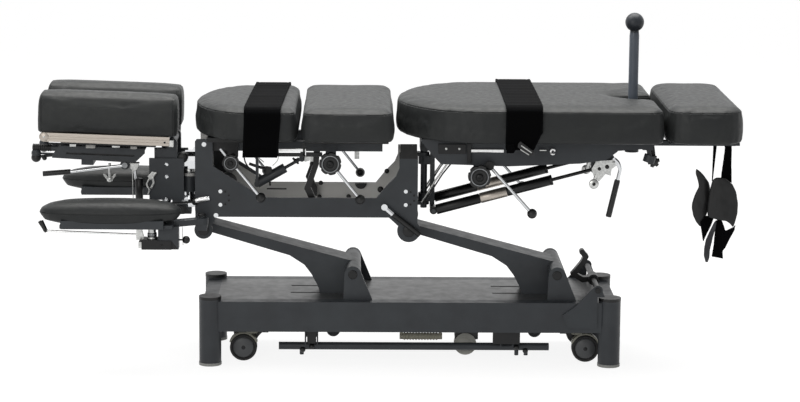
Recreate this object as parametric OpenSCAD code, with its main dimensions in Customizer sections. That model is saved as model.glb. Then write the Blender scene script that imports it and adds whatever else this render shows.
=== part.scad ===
/* [Lift and base] */
// Distance between the lower pivots of the two lifting arms, and between the upper ones
pivot_span = 585; // [560:1:610]
// Length of a lifting arm from pivot to pivot
arm_len = 444.53; // [430:0.01:460]
// Left upper pivot from the middle of the table
left_upper_x = -505; // [-515:1:-495]
// Height of the upper pivots above the floor in the photographed position
upper_z = 387; // [380:1:395]
// Height of the lower pivots above the floor
lower_pivot_z = 260; // [254:1:268]
// How far the left posts stand beyond the left lower pivot
head_overhang = 407; // [400:1:414]
// How far the right posts stand beyond the right lower pivot
foot_overhang = 151; // [145:1:158]
// Distance between the corner posts across the table
post_span_y = 316; // [310:1:330]
// Diameter of a corner post
post_d = 63; // [56:1:66]
// Height of the top of a corner post
post_top_z = 200.6; // [196:0.2:210]
// Top of the side rails and of the deck
deck_z = 187; // [184:1:190]
// Height of a side rail
rail_h = 87; // [80:1:90]
// Wall of the side rails
rail_t = 5; // [3:0.5:8]
// Diameter of a wheel
wheel_d = 78; // [70:1:80]
// Width of a wheel
wheel_w = 32; // [26:1:36]

/* [Chassis] */
// Outer half width over the two side plates
plate_y = 135; // [130:1:140]
// Thickness of a side plate
plate_t = 8; // [6:1:10]
// Top edge of the straight beam of a side plate
beam_top_z = 481; // [478:1:486]
// Bottom edge of the straight beam of a side plate
beam_bottom_z = 425; // [415:1:430]
// Top of the left upright
left_upright_z = 648; // [640:1:650]
// Top of the steel of the right upright
right_upright_z = 596; // [590:1:600]

/* [Cushions] */
// Underside of the body cushions
cushion_z = 662; // [660:1:666]
// Thickness of the body cushions at the crown
cushion_h = 90; // [85:1:96]
// Thickness of the leg and foot cushions at the crown
leg_cushion_h = 101; // [95:1:106]
// Half width of the leg cushion
leg_hw = 291; // [280:1:295]
// Half width of the pelvic cushion
pelvic_hw = 286; // [280:1:290]
// Half width of the thoracic cushion
thoracic_hw = 272; // [266:1:275]
// Half width of the foot cushion
foot_hw = 284; // [275:1:290]
// Head end of the thoracic cushion
thoracic_x0 = -534; // [-540:1:-530]
// Foot end of the thoracic cushion
thoracic_x1 = -236; // [-240:1:-230]
// Head end of the pelvic cushion
pelvic_x0 = -223; // [-226:1:-220]
// Foot end of the pelvic cushion
pelvic_x1 = 34; // [30:1:36]
// Head end of the leg cushion
leg_x0 = 42; // [40:1:46]
// Foot end of the leg cushion
leg_x1 = 789; // [780:1:792]
// Head end of the foot cushion
foot_x0 = 798; // [796:1:804]
// Foot end of the foot cushion
foot_x1 = 1013; // [1000:1:1018]
// Half width of the slot in the leg cushion that the tiller stands in
slot_hw = 60; // [40:1:70]
// Length of that slot
slot_len = 122; // [110:1:130]

/* [Head section] */
// Head end of the two face pads
pad_x0 = -972; // [-980:1:-960]
// Body end of the two face pads
pad_x1 = -579; // [-585:1:-575]
// Half width of the gap between the two face pads
face_gap_hw = 46; // [40:1:50]
// Width of a face pad
pad_w = 118; // [110:1:125]
// Height of a face pad
pad_h = 113; // [105:1:120]
// Tilt of the head section in the photographed position
head_tilt = 1.9; // [0:0.1:3]

/* [Armrests] */
// Middle line of an armrest from the middle of the table
armrest_y = 277; // [272:1:285]
// Length of an armrest pad
armrest_len = 398; // [380:1:410]
// Width of an armrest pad
armrest_w = 132; // [120:1:140]

/* [Leg section] */
// Axis on which the leg section swings to the sides
yaw_x = 125; // [122:1:128]
// Height of the hinge on which the leg section bends
flex_z = 618; // [615:1:621]
// Distance of a gas spring from the middle
spring_y = 100; // [94:1:104]
// Diameter of a gas spring
spring_d = 26; // [22:1:28]
// Middle of the tiller from the middle of the table
tiller_x = 726; // [715:1:730]
// Diameter of the ball on the tiller
ball_d = 54; // [45:1:56]
// Highest point of the tiller
tiller_top_z = 1001; // [960:1:1020]

/* [Hidden] */

// One overrun for every cut
cut = 1;
// Running clearance around a pin, on the radius
run = 0.05;
// Gap between faces that slide or lie side by side on different bodies
gap = 0.3;
// Facets of a small round and of a large one
fn_small = 32;
fn_large = 64;

steel = "#414345";
black = "#1c1d1f";
chrome = "#c9ccd0";
leather = "#34373a";
webbing = "#141517";

arm_dz = upper_z - lower_pivot_z;
arm_dx = sqrt(arm_len * arm_len - arm_dz * arm_dz);
arm_angle = asin(arm_dz / arm_len);
left_pivot_x = left_upper_x + arm_dx;
right_pivot_x = left_pivot_x + pivot_span;
right_upper_x = left_upper_x + pivot_span;
post_x0 = left_pivot_x - head_overhang;
post_x1 = right_pivot_x + foot_overhang;
base_x = (post_x0 + post_x1) / 2;
post_y = post_span_y / 2;
rail_z = deck_z - rail_h;
plate_in = plate_y - plate_t;

// A cylinder along Y about the point (x, z), from y0 to y1
module pin_y(x, z, d, y0, y1, fn = fn_small) {
  translate([x, y1, z]) rotate([90, 0, 0]) cylinder(h = y1 - y0, d = d, $fn = fn);
}

// A cylinder along X from x0 to x1
module pin_x(x0, x1, y, z, d, fn = fn_small) {
  translate([x0, y, z]) rotate([0, 90, 0]) cylinder(h = x1 - x0, d = d, $fn = fn);
}

// A round rod from point a to point b
module rod(a, b, d, d2 = 0, fn = fn_small) {
  v = b - a;
  translate(a)
    rotate([0, acos(v.z / norm(v)), atan2(v.y, v.x)])
      cylinder(h = norm(v), d1 = d, d2 = d2 > 0 ? d2 : d, $fn = fn);
}

// A plate whose outline lies in XZ, from y0 to y1
module plate_xz(y0, y1) {
  translate([0, y1, 0]) rotate([90, 0, 0]) linear_extrude(height = y1 - y0) children();
}

// A block between two corners
module block(a, b) {
  translate(a) cube(b - a);
}

// A copy on each side of the middle plane
module both_sides() {
  children();
  mirror([0, 1, 0]) children();
}

// The same outline as points of a rectangle of width w and height h, from shares
function scaled(shares, w, h) = [for (p = shares) [p[0] * w, p[1] * h]];

// Base

hanger_x = [base_x - 282.5, base_x + 279.5];
hanger_w = 30;
hanger_t = 8;
foot_bar_d = 22;
foot_bar_y = -120;
foot_bar_z = 46;
foot_hinge_z = 82;
foot_hinge_d = 10;
caster_y = 107;
rocker_shaft_z = 88;
rocker_reach = 48;
rocker_tube_d = 22;
rocker_left_x = post_x0 + 141;
rocker_right_x = post_x1 - 112;
wheel_z = wheel_d / 2 + 1.2;
pedal_x = post_x1 - 37;
pedal_z = 226;
pedal_shaft_d = 16;
gusset_t = 6;
cap_h = 8.6;
foot_h = 8;

rail_w = 40;
deck_t = 4;
slit_y = 47;
slit_w = 12;
slit_back = 180;
slit_front = 20;

module posts_xy() {
  for (x = [post_x0, post_x1]) for (s = [-1, 1]) translate([x, s * post_y, 0]) children();
}

module hollow_rail(a, b) {
  difference() {
    block(a, b);
    block(a + [rail_t, rail_t, rail_t], b - [rail_t, rail_t, rail_t]);
  }
}

module base_rails() {
  color(steel) difference() {
    union() {
      both_sides()
        hollow_rail([post_x0, -post_y - rail_w / 2, rail_z], [post_x1, -post_y + rail_w / 2, deck_z]);
      for (x = [post_x0, post_x1])
        hollow_rail([x - rail_w / 2, -post_y + rail_w / 2, rail_z],
            [x + rail_w / 2, post_y - rail_w / 2, deck_z]);
    }
    posts_xy() translate([0, 0, rail_z - cut]) cylinder(h = rail_h + 2 * cut, d = post_d, $fn = fn_large);
  }
}

module base_deck() {
  color("#7c7b7b") difference() {
    block([post_x0 + rail_w / 2, -post_y + rail_w / 2, deck_z - deck_t],
        [post_x1 - rail_w / 2, post_y - rail_w / 2, deck_z]);
    for (x = [left_pivot_x, right_pivot_x]) for (s = [-1, 1])
      translate([x - slit_back, s * slit_y - slit_w / 2, deck_z - deck_t - cut])
        cube([slit_back + slit_front, slit_w, deck_t + 2 * cut]);
    posts_xy() translate([0, 0, rail_z]) cylinder(h = rail_h + cut, d = post_d + 2 * run, $fn = fn_large);
  }
}

module corner_posts() {
  color(steel) posts_xy() difference() {
    translate([0, 0, foot_h]) cylinder(h = post_top_z - cap_h - foot_h, d = post_d, $fn = fn_large);
    translate([0, 0, foot_h - cut]) cylinder(h = post_top_z, d = post_d - 2 * rail_t, $fn = fn_large);
  }
}

module post_caps() {
  plug_h = 14;
  color(black) posts_xy() {
    translate([0, 0, post_top_z - cap_h]) cylinder(h = cap_h, d = post_d + 1, $fn = fn_large);
    translate([0, 0, post_top_z - cap_h - plug_h])
        cylinder(h = plug_h + cut, d = post_d - 2 * rail_t, $fn = fn_large);
  }
}

module levelling_feet() {
  stud_h = 30;
  lip = 2;
  color("#b9bab8") posts_xy() {
    cylinder(h = foot_h, d = post_d + lip, $fn = fn_large);
    cylinder(h = stud_h, d = post_d - 2 * rail_t, $fn = fn_large);
  }
}

lug_y0 = 130;
lug_t = 12;
lug_r = 24;
lug_foot_x0 = 27;
lug_foot_x1 = 56;
lug_tangent = 20;
lower_pin_d = 25;

module lug(x) {
  plate_xz(-lug_y0 - lug_t, -lug_y0) difference() {
    union() {
      translate([x, lower_pivot_z]) circle(r = lug_r, $fn = fn_large);
      polygon([[x - lug_r, lower_pivot_z], [x - lug_foot_x0, deck_z], [x + lug_foot_x1, deck_z],
               [x + lug_r * cos(lug_tangent), lower_pivot_z + lug_r * sin(lug_tangent)]]);
    }
    translate([x, lower_pivot_z]) circle(d = lower_pin_d + 2 * run, $fn = fn_large);
  }
}

gusset_share = [[-0.5, -0.37], [-0.47, -0.44], [-0.42, -0.555], [0.1, -0.56], [0.1, -0.1], [0.05, 0.03],
    [-0.05, 0.05], [-0.3, -0.22]];
gusset_h = 200;
hanger_y = foot_bar_y;

module base_brackets() {
  gusset_r = 14;
  clevis_w = 12;
  color(steel) {
    both_sides() for (x = [left_pivot_x, right_pivot_x]) lug(x);
    both_sides() plate_xz(-post_y - rail_w / 2 - gusset_t, -post_y - rail_w / 2) difference() {
      union() {
        translate([pedal_x, pedal_z]) circle(r = gusset_r, $fn = fn_small);
        translate([pedal_x, pedal_z]) polygon(scaled(gusset_share, gusset_h, gusset_h));
      }
      translate([pedal_x, pedal_z]) circle(d = pedal_shaft_d + 2 * run, $fn = fn_small);
      translate([post_x1 - post_d / 2 - gusset_t, 0])
          square([post_d + 2 * gusset_t, post_top_z + gusset_t]);
    }
    for (x = hanger_x) difference() {
      block([x - hanger_w / 2, hanger_y - hanger_t, foot_hinge_z - hanger_t - gap],
          [x + hanger_w / 2, hanger_y + hanger_t, deck_z - deck_t]);
      pin_x(x - hanger_w, x + hanger_w, hanger_y, foot_hinge_z, foot_hinge_d + 2 * run);
    }
    both_sides() for (x = [rocker_left_x, rocker_right_x]) difference() {
      block([x - rocker_tube_d, rocker_bush_y, rocker_shaft_z - rocker_tube_d / 2 - rail_t],
          [x + rocker_tube_d, rocker_bush_y + clevis_w, deck_z - deck_t]);
      pin_y(x, rocker_shaft_z, rocker_tube_d + 2 * run, 0, post_y);
    }
    both_sides() difference() {
      block([actuator_x - clevis_w, actuator_ear_y, actuator_z - clevis_w],
          [actuator_x + clevis_w, actuator_ear_y + rail_t, deck_z - deck_t]);
      pin_y(actuator_x, actuator_z, actuator_pin_d + 2 * run, 0, post_y);
    }
  }
}

module lower_pivot_pins() {
  head_t = 3;
  head_r = 11;
  color(black) for (x = [left_pivot_x, right_pivot_x]) {
    pin_y(x, lower_pivot_z, lower_pin_d, -lug_y0 - lug_t, lug_y0 + lug_t, fn_large);
    pin_y(x, lower_pivot_z, 2 * head_r, -lug_y0 - lug_t - head_t, -lug_y0 - lug_t);
    pin_y(x, lower_pivot_z, 2 * head_r, lug_y0 + lug_t, lug_y0 + lug_t + head_t);
  }
}

box_x = base_x + 10.5;
box_len = 84;
box_y = 56;
box_w = 70;
box_h = 62;
hose_x0 = base_x - 28.5;
hose_x1 = base_x + 94.5;
hose_y = -96;
hose_z = 70;
hose_d = 22;
hose_bore = 15;
hose_ribs = 12;

// The ribbed cable sleeve: ribs of one profile turned round its bore
module ribbed_sleeve() {
  pitch = (hose_x1 - hose_x0 - hose_d) / hose_ribs;
  groove = hose_d / 12;
  ribs = [for (i = [0:hose_ribs - 1]) for (s = [[0.15, 1], [0.65, 1], [0.75, 0], [0.99, 0]])
    [hose_d / 2 - (1 - s[1]) * groove, hose_d / 2 + (i + s[0]) * pitch]];
  translate([hose_x0, hose_y, hose_z]) rotate([0, 90, 0]) rotate_extrude($fn = fn_small) polygon(concat(
    [[hose_bore / 2, 0], [hose_d / 2 - groove, 0], [hose_d / 2 - groove, hose_d / 2]],
    ribs,
    [[hose_d / 2 - groove, hose_x1 - hose_x0 - hose_d / 2], [hose_d / 2 - groove, hose_x1 - hose_x0],
        [hose_bore / 2, hose_x1 - hose_x0]]
  ));
}

module control_box() {
  color(black) block([box_x, box_y, deck_z - deck_t - box_h],
      [box_x + box_len, box_y + box_w, deck_z - deck_t]);
  color("#a3a092") {
    ribbed_sleeve();
    for (x = [hose_x0 + hose_d / 4, hose_x1 - hose_d / 4])
      block([x - hose_d / 5, hose_y - hose_d / 5, hose_z + hose_bore / 2 + 2 * gap],
          [x + hose_d / 5, hose_y + hose_d / 5, deck_z - deck_t]);
  }
}

// Lifting arms

arm_y = 52;
arm_wall = 6;
crank_y = 44;
crank_t = 6;
hub_d = 46;
arm_top_low = 21;
arm_top_high = 7;
arm_bottom = -16.5;
arm_tip = 22;
arm_nose = 13;
arm_nose_cut = 8;
skirt_start = 194;
skirt_share = [[-0.61, 0.04], [-0.52, -0.08], [-0.455, -0.2], [-0.42, -0.28]];
crank_x = -56;
crank_z = -183;
crank_r = 20;
crank_pin_d = 18;
crank_slack = 0.5;
upper_pin_d = 22;

// Side view of an arm about its lower pivot, level pivots along the negative X axis
module arm_beam_outline() {
  rotate(-arm_angle) difference() {
    polygon([
      [0, arm_top_low], [-arm_len, arm_top_high],
      [-arm_len - arm_nose, arm_top_high - arm_nose_cut], [-arm_len - arm_nose, arm_bottom + arm_nose_cut],
      [-arm_len, arm_bottom], [0, arm_bottom]
    ]);
    translate([-arm_len, 0]) circle(d = upper_pin_d + 2 * run, $fn = fn_large);
  }
}

module crank_outline() {
  polygon(concat(
    [[0, hub_d / 2], [-skirt_start * cos(arm_angle), skirt_start * sin(arm_angle) + arm_bottom]],
    scaled(skirt_share, hub_d * 5, hub_d * 5),
    [[crank_x - crank_r, crank_z], [crank_x + crank_r, crank_z], [-hub_d / 4, deck_z - lower_pivot_z],
        [hub_d / 2, 0]]
  ));
  translate([crank_x, crank_z]) circle(r = crank_r, $fn = fn_small);
}

module arm(x, pin_slack) {
  color(steel) translate([x, 0, lower_pivot_z]) difference() {
    union() {
      plate_xz(-arm_y, arm_y) arm_beam_outline();
      both_sides() plate_xz(crank_y, crank_y + crank_t) crank_outline();
      pin_y(0, 0, hub_d, -lug_y0 + gap, lug_y0 - gap, fn_large);
    }
    rotate([0, arm_angle, 0]) translate([-arm_len + arm_tip, -arm_y + arm_wall, arm_bottom + arm_wall])
      cube([arm_len - arm_tip - hub_d / 2, 2 * (arm_y - arm_wall),
          arm_top_high - arm_bottom - 2 * arm_wall]);
    pin_y(0, 0, lower_pin_d + 2 * run, -post_y, post_y, fn_large);
    translate([-arm_dx, 0, arm_dz]) pin_y(0, 0, upper_pin_d + 2 * run, -post_y, post_y, fn_large);
    pin_y(crank_x, crank_z, crank_pin_d + 2 * pin_slack, -post_y, post_y);
  }
}

module left_arm() { arm(left_pivot_x, run); }
module right_arm() { arm(right_pivot_x, crank_slack); }

bar_y = 30;
bar_t = 8;
bar_h = 24;

module tie_bar() {
  x0 = left_pivot_x + crank_x;
  x1 = right_pivot_x + crank_x;
  z = lower_pivot_z + crank_z;
  pin_end = crank_y + crank_t + bar_t;
  color(steel) {
    plate_xz(bar_y, bar_y + bar_t) {
      translate([x0, z - bar_h / 2]) square([x1 - x0, bar_h]);
      for (x = [x0, x1]) translate([x, z]) circle(d = bar_h, $fn = fn_small);
    }
    for (x = [x0, x1]) pin_y(x, z, crank_pin_d, -pin_end, pin_end);
  }
}

// Actuator

actuator_x = base_x + 244.5;
actuator_z = 128;
actuator_pin_d = 12;
actuator_eye_w = 10;
actuator_ear_y = 21;
tube_d = 32;
tube_end_x = base_x - 25.5;
gearbox_x = base_x + 131.5;
gearbox_len = 67;
motor_d = 64;
motor_y0 = -96;
motor_z = 47;
gearbox_y = -92;
gearbox_z0 = 60;
gearbox_z1 = 150;
gearbox_in = 14;
rod_d = 16;
eye_slack = 5;
rocker_bush_y = 56;
actuator_tilt = atan2(actuator_z - lower_pivot_z - crank_z, actuator_x - left_pivot_x - crank_x);
actuator_reach = norm([actuator_x - left_pivot_x - crank_x, actuator_z - lower_pivot_z - crank_z]);

// Places along the actuator, measured from its rear pin towards the crank
module actuator_frame() {
  translate([actuator_x, 0, actuator_z]) rotate([0, -actuator_tilt, 0]) mirror([1, 0, 0]) children();
}

module actuator_body() {
  tube_x = actuator_x - gearbox_x;
  tube_len = gearbox_x - tube_end_x;
  ear_y = actuator_ear_y - gap;
  color(black) difference() {
    union() {
      actuator_frame() {
        pin_x(0, tube_x + tube_len, 0, 0, tube_d, fn_large);
        pin_y(0, 0, tube_d, -ear_y, ear_y);
      }
      block([gearbox_x, gearbox_y, gearbox_z0],
          [gearbox_x + gearbox_len, gearbox_y + tube_d * 2, gearbox_z1 - tube_d / 2]);
      block([gearbox_x, gearbox_y, gearbox_z0 + tube_d], [gearbox_x + gearbox_len, gearbox_in, gearbox_z1]);
    }
    actuator_frame() pin_x(tube_d, tube_x + tube_len + cut, 0, 0, rod_d + 2 * run);
    pin_y(actuator_x, actuator_z, actuator_pin_d + 2 * run, -post_y, post_y);
  }
  color("#a6a69f") pin_y(gearbox_x + gearbox_len * 0.45, motor_z, motor_d, motor_y0, gearbox_y + tube_d,
      fn_large);
}

module actuator_rod() {
  eye_d = crank_pin_d + 2 * eye_slack + 8;
  color(chrome) difference() {
    actuator_frame() {
      pin_x(actuator_reach / 3, actuator_reach - crank_pin_d, 0, 0, rod_d);
      pin_y(actuator_reach, 0, eye_d, -actuator_eye_w / 2, actuator_eye_w / 2);
    }
    actuator_frame() pin_y(actuator_reach, 0, crank_pin_d + 2 * eye_slack, -rod_d, rod_d);
  }
}

// Foot bar, pedal and retracting wheels

module foot_bar() {
  x0 = base_x - 376.5;
  x1 = base_x + 401.5;
  ear_t = 4;
  stud_d = 12;
  stud_l = 14;
  stud_x = [base_x - 310.5, base_x + 308.5, base_x + 335.5];
  color(steel) {
    pin_x(x0, x1, foot_bar_y, foot_bar_z, foot_bar_d);
    for (x = hanger_x) {
      for (s = [-1, 1]) translate([x + s * (hanger_w / 2 + gap + ear_t / 2), hanger_y,
          (foot_bar_z + foot_hinge_z + foot_hinge_d) / 2])
        cube([ear_t, foot_bar_d, foot_hinge_z + foot_hinge_d - foot_bar_z], center = true);
      pin_x(x - hanger_w / 2 - gap - ear_t, x + hanger_w / 2 + gap + ear_t, hanger_y, foot_hinge_z,
          foot_hinge_d);
    }
  }
  color(black) for (x = stud_x)
    translate([x, foot_bar_y, foot_bar_z - foot_bar_d / 2 - stud_l])
        cylinder(h = stud_l + foot_bar_d / 4, d = stud_d, $fn = fn_small);
}

module caster_pedal() {
  pedal_t = 24;
  pedal_y = -14;
  arm_w = 15;
  route_share = [[0, 0], [-0.27, -0.02], [-0.52, 0.12], [-0.28, 0.42], [-0.2, 0.6], [-0.3, 0.72]];
  reach = 110;
  color(black) {
    plate_xz(pedal_y - pedal_t / 2, pedal_y + pedal_t / 2) translate([pedal_x, pedal_z]) {
      pts = scaled(route_share, reach, reach);
      for (p = pts) translate(p) circle(d = arm_w + cut, $fn = fn_small);
      for (i = [0:len(pts) - 2]) {
        v = pts[i + 1] - pts[i];
        translate(pts[i]) rotate(atan2(v.y, v.x)) translate([0, -arm_w / 2]) square([norm(v), arm_w]);
      }
    }
    pin_y(pedal_x, pedal_z, 2 * pedal_shaft_d, pedal_y - pedal_t, pedal_y + pedal_t);
  }
  color(chrome) pin_y(pedal_x, pedal_z, pedal_shaft_d, -post_y - rail_w / 2 - 2 * gusset_t,
      post_y + rail_w / 2 + 2 * gusset_t);
}

module rocker(x, s) {
  guard_x0 = 8;
  guard_w = 32;
  guard_h = 15;
  arm_t = 6;
  arm_w = 22;
  axle_d = 12;
  arm_in = caster_y - wheel_w / 2 - 1 - arm_t;
  wheel_x = x + s * rocker_reach;
  axle_z = wheel_z;
  color(steel) {
    pin_y(x, rocker_shaft_z, rocker_tube_d, -arm_in - arm_t, arm_in + arm_t);
    both_sides() {
      plate_xz(-arm_in - arm_t, -arm_in) {
        translate([x, rocker_shaft_z]) circle(d = arm_w, $fn = fn_small);
        translate([wheel_x, axle_z]) circle(d = arm_w, $fn = fn_small);
        v = [wheel_x - x, axle_z - rocker_shaft_z];
        translate([x, rocker_shaft_z]) rotate(atan2(v.y, v.x)) translate([0, -arm_w / 2])
            square([norm(v), arm_w]);
      }
      pin_y(wheel_x, axle_z, axle_d, -caster_y - wheel_w / 2 - 1, -arm_in);
    }
  }
  color("#8d8c80") both_sides() plate_xz(-caster_y - wheel_w / 2 + 1, -arm_in - arm_t)
    translate([wheel_x - s * guard_x0, axle_z + wheel_d / 2 + 3])
      polygon([[0, 0], [-s * guard_w, 0], [-s * guard_w, guard_h], [-s * guard_x0, guard_h]]);
}

module rocker_left() { rocker(rocker_left_x, -1); }
module rocker_right() { rocker(rocker_right_x, 1); }

// A moulded wheel with a tyre, a hub cap recess and a bore for its axle
module wheel(x, s) {
  axle_d = 12;
  rim = 9;
  dish = 3;
  color(black) translate([x, s * caster_y + wheel_w / 2, wheel_z])
      rotate([90, 0, 0]) rotate_extrude($fn = fn_large)
    polygon([[axle_d / 2 + run, 0], [wheel_d / 2 - rim - dish, 0], [wheel_d / 2 - rim, dish],
        [wheel_d / 2 - rim + dish, 0], [wheel_d / 2 - dish, 0],
             [wheel_d / 2, dish], [wheel_d / 2, wheel_w - dish], [wheel_d / 2 - dish, wheel_w],
                 [wheel_d / 2 - rim + dish, wheel_w],
             [wheel_d / 2 - rim, wheel_w - dish], [wheel_d / 2 - rim - dish, wheel_w],
                 [axle_d / 2 + run, wheel_w]]);
}

module wheel_front_left() { wheel(rocker_left_x - rocker_reach, -1); }
module wheel_back_left() { wheel(rocker_left_x - rocker_reach, 1); }
module wheel_front_right() { wheel(rocker_right_x + rocker_reach, -1); }
module wheel_back_right() { wheel(rocker_right_x + rocker_reach, 1); }

// Chassis

left_edge_share = [[-0.0393, 0.96], [-0.031, 1], [0.038, 1], [0.0462, 0.96], [0.0462, 0.545],
    [0.1094, 0.395], [0.197, 0.21], [0.256, 0.06], [0.291, 0]];
right_edge_share = [[0.841, 0], [0.892, 0.322], [0.935, 0.548], [0.952, 0.757], [0.952, 1], [1.0427, 1]];
// The upright of the far plate ends just over the yaw lug and carries no stop
far_top_share = 0.987;
far_edge_share = [for (p = right_edge_share) [p[0], min(p[1], far_top_share)]];
boss_left_r = 26;
boss_right_r = 33;
tube_left = [-451, 480];
tube_right = [76, 482];
cross_d = 60;
cross_wall = 4;

function plate_x(s) = left_upper_x + s * pivot_span;

// Points of a boss outline: a share of its radius across and up
boss_share = [0.9, 0.4];
beam_ends_share = [0.06, 0.9026];
right_edge_end = 1.0427;

module chassis_outline(edge_share) {
  difference() {
    union() {
      polygon(concat(
        [[left_upper_x - boss_left_r + 3, upper_z]],
        [for (p = left_edge_share) [plate_x(p[0]), beam_top_z + p[1] * (left_upright_z - beam_top_z)]],
        [for (p = edge_share) [plate_x(p[0]), beam_top_z + p[1] * (right_upright_z - beam_top_z)]],
        [[plate_x(right_edge_end), upper_z],
         [right_upper_x - boss_right_r * boss_share[0], upper_z + boss_right_r * boss_share[1]],
         [plate_x(beam_ends_share[1]), beam_bottom_z], [plate_x(beam_ends_share[0]), beam_bottom_z],
         [left_upper_x + boss_left_r * boss_share[0], upper_z + boss_left_r * boss_share[1]]]
      ));
      translate([left_upper_x, upper_z]) circle(r = boss_left_r, $fn = fn_large);
      translate([right_upper_x, upper_z]) circle(r = boss_right_r, $fn = fn_large);
    }
    for (x = [left_upper_x, right_upper_x]) translate([x, upper_z]) circle(d = upper_pin_d, $fn = fn_large);
  }
}

module chassis_plate_front() {
  color(steel) plate_xz(-plate_y, -plate_in) chassis_outline(right_edge_share);
}

module chassis_plate_back() {
  color(steel) plate_xz(plate_in, plate_y) chassis_outline(far_edge_share);
}

module chassis_cross_tubes() {
  color(steel) {
    for (c = [tube_left, tube_right]) difference() {
      pin_y(c.x, c.y, cross_d, -plate_in, plate_in, fn_large);
      pin_y(c.x, c.y, cross_d - 2 * cross_wall, -plate_y, plate_y, fn_large);
    }
  }
  yaw_lugs();
  armrest_pins();
}

module upright_bumpers() {
  bumper_h = 40;
  band_h = 16;
  margin = 3;
  x0 = plate_x(right_edge_share[4][0]);
  x1 = plate_x(right_edge_share[5][0]);
  color(black) {
    translate([x0 + margin, -plate_y - margin, right_upright_z])
        cube([x1 - x0 - 2 * margin, plate_t + 2 * margin, bumper_h]);
    translate([x0, -plate_y - margin, right_upright_z]) cube([x1 - x0, plate_t + 2 * margin, band_h]);
  }
}

module chassis_fasteners() {
  bolt_d = 13;
  bolt_h = 4;
  ring_r = 20;
  ring_d = 11;
  small_d = 6;
  bright_turns = [-105, 105];
  dark_turns = [-65, -22, 22, 65];
  lock_z = 476;
  singles = [[-502, 634], [-469, 430]];
  lock_len = 72;
  color(chrome) {
    both_sides() {
      for (c = singles) pin_y(c.x, c.y, bolt_d, -plate_y - bolt_h, -plate_y);
      for (c = [tube_left, tube_right], turn = bright_turns)
        rotate_about(c, turn) pin_y(c.x + ring_r, c.y, ring_d, -plate_y - bolt_h, -plate_y);
    }
    for (x = [left_upper_x, right_upper_x]) {
      pin_y(x, upper_z, upper_pin_d, -plate_y - bolt_h, plate_y + bolt_h);
    }
    translate([left_upper_x, -plate_y - bolt_d / 2, lock_z])
        rod([-lock_len / 4, 0, -bolt_h], [lock_len / 4, 0, bolt_h], bolt_d);
  }
  color(black) both_sides() for (c = [tube_left, tube_right], turn = dark_turns)
    rotate_about(c, turn) pin_y(c.x + ring_r, c.y, small_d, -plate_y - bolt_h / 2, -plate_y);
}

module rotate_about(c, a) {
  translate([c.x, 0, c.y]) rotate([0, a, 0]) translate([-c.x, 0, -c.y]) children();
}

// Carrier of the two body sections, its lever shafts and its damper

carrier_y = 100;
carrier_w = 24;
carrier_z0 = 612;
carrier_z1 = 640;
carrier_x0 = -493;
carrier_x1 = 4;
thoracic_shaft = [-421, 600];
pelvic_shaft = [-143, 599];
leg_shaft = [275, 564];
leg_lever_shaft = [303, 592];
shaft_d = 12;
bush_r = 15;
bush_t = 10;
bush_y = 112;
damper_a = [-354, 512];
damper_b = [-226, 586];
damper_d = 28;

module carrier_bush(c, top_z) {
  plate_xz(-bush_y - bush_t, -bush_y) difference() {
    union() {
      translate(c) circle(r = bush_r, $fn = fn_small);
      translate([c.x - bush_r, c.y]) square([2 * bush_r, top_z - c.y]);
    }
    translate(c) circle(d = shaft_d + 2 * run, $fn = fn_small);
  }
}

module section_carrier() {
  strut_x = -196;
  strut_w = 22;
  strut_top = [-192, -175];
  strut_bend = [[-177, 573], [-200, 506], [-186, 474]];
  strut_back = [[-204, 471], [-219, 503], [-194, 572]];
  spine_w = 40;
  color(steel) {
    both_sides() {
      block([carrier_x0, -carrier_y - carrier_w / 2, carrier_z0],
          [carrier_x1, -carrier_y + carrier_w / 2, carrier_z1]);
      carrier_bush(thoracic_shaft, carrier_z1);
      carrier_bush(pelvic_shaft, carrier_z1);
      block([carrier_x0, -plate_in, carrier_z0], [carrier_x0 + bush_r, -carrier_y, carrier_z1]);
      plate_xz(-carrier_y - carrier_w / 3, -carrier_y + carrier_w / 3) polygon(concat(
        [[strut_top[0], carrier_z0 + cut], [strut_top[1], carrier_z0 + cut]], strut_bend,
        [[strut_x + strut_w / 2, beam_bottom_z + strut_w],
            [strut_x - strut_w / 2, beam_bottom_z + strut_w]], strut_back));
      block([strut_x - strut_w / 2, -plate_in, beam_bottom_z + strut_w],
          [strut_x + strut_w / 2, -carrier_y, beam_bottom_z + 2 * strut_w]);
    }
    for (x = [carrier_x0, strut_x, carrier_x1 - spine_w])
      block([x, -carrier_y, carrier_z0], [x + spine_w, carrier_y, carrier_z0 + spine_w / 4]);
  }
  color(black) damper();
}

module damper() {
  v = damper_b - damper_a;
  split = 0.62;
  y = -carrier_y + carrier_w;
  m = damper_a + split * v;
  eye_d = 16;
  rod([damper_a.x, y, damper_a.y], [m.x, y, m.y], damper_d);
  rod([m.x, y, m.y], [damper_b.x, y, damper_b.y], damper_d / 3);
  for (p = [damper_a, damper_b]) {
    pin_y(p.x, p.y, eye_d, y - eye_d, y + eye_d);
    block([p.x - eye_d / 4, y - eye_d, p.y], [p.x + eye_d / 4, y + eye_d, carrier_z0]);
  }
  for (p = [damper_a, damper_b])
    block([p.x - eye_d / 2, y - eye_d, carrier_z0], [p.x + eye_d / 2, y + eye_d, carrier_z0 + eye_d / 2]);
}

// Head section

column_x = -549;
column_y = 62;
column_d = 28;
column_z0 = 452;
column_z1 = 584;
clamp_h = 22;
head_lift_up = 30;
clamp_r = 20;
block_x0 = -661;
block_x1 = -562;
block_z0 = 467;
block_z1 = 587;
block_y = 100;
head_hinge = [-596, 630];
head_pin_d = 14;
rail_head_z0 = 631;
rail_head_h = 26;
rail_head_y = 150;

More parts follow.
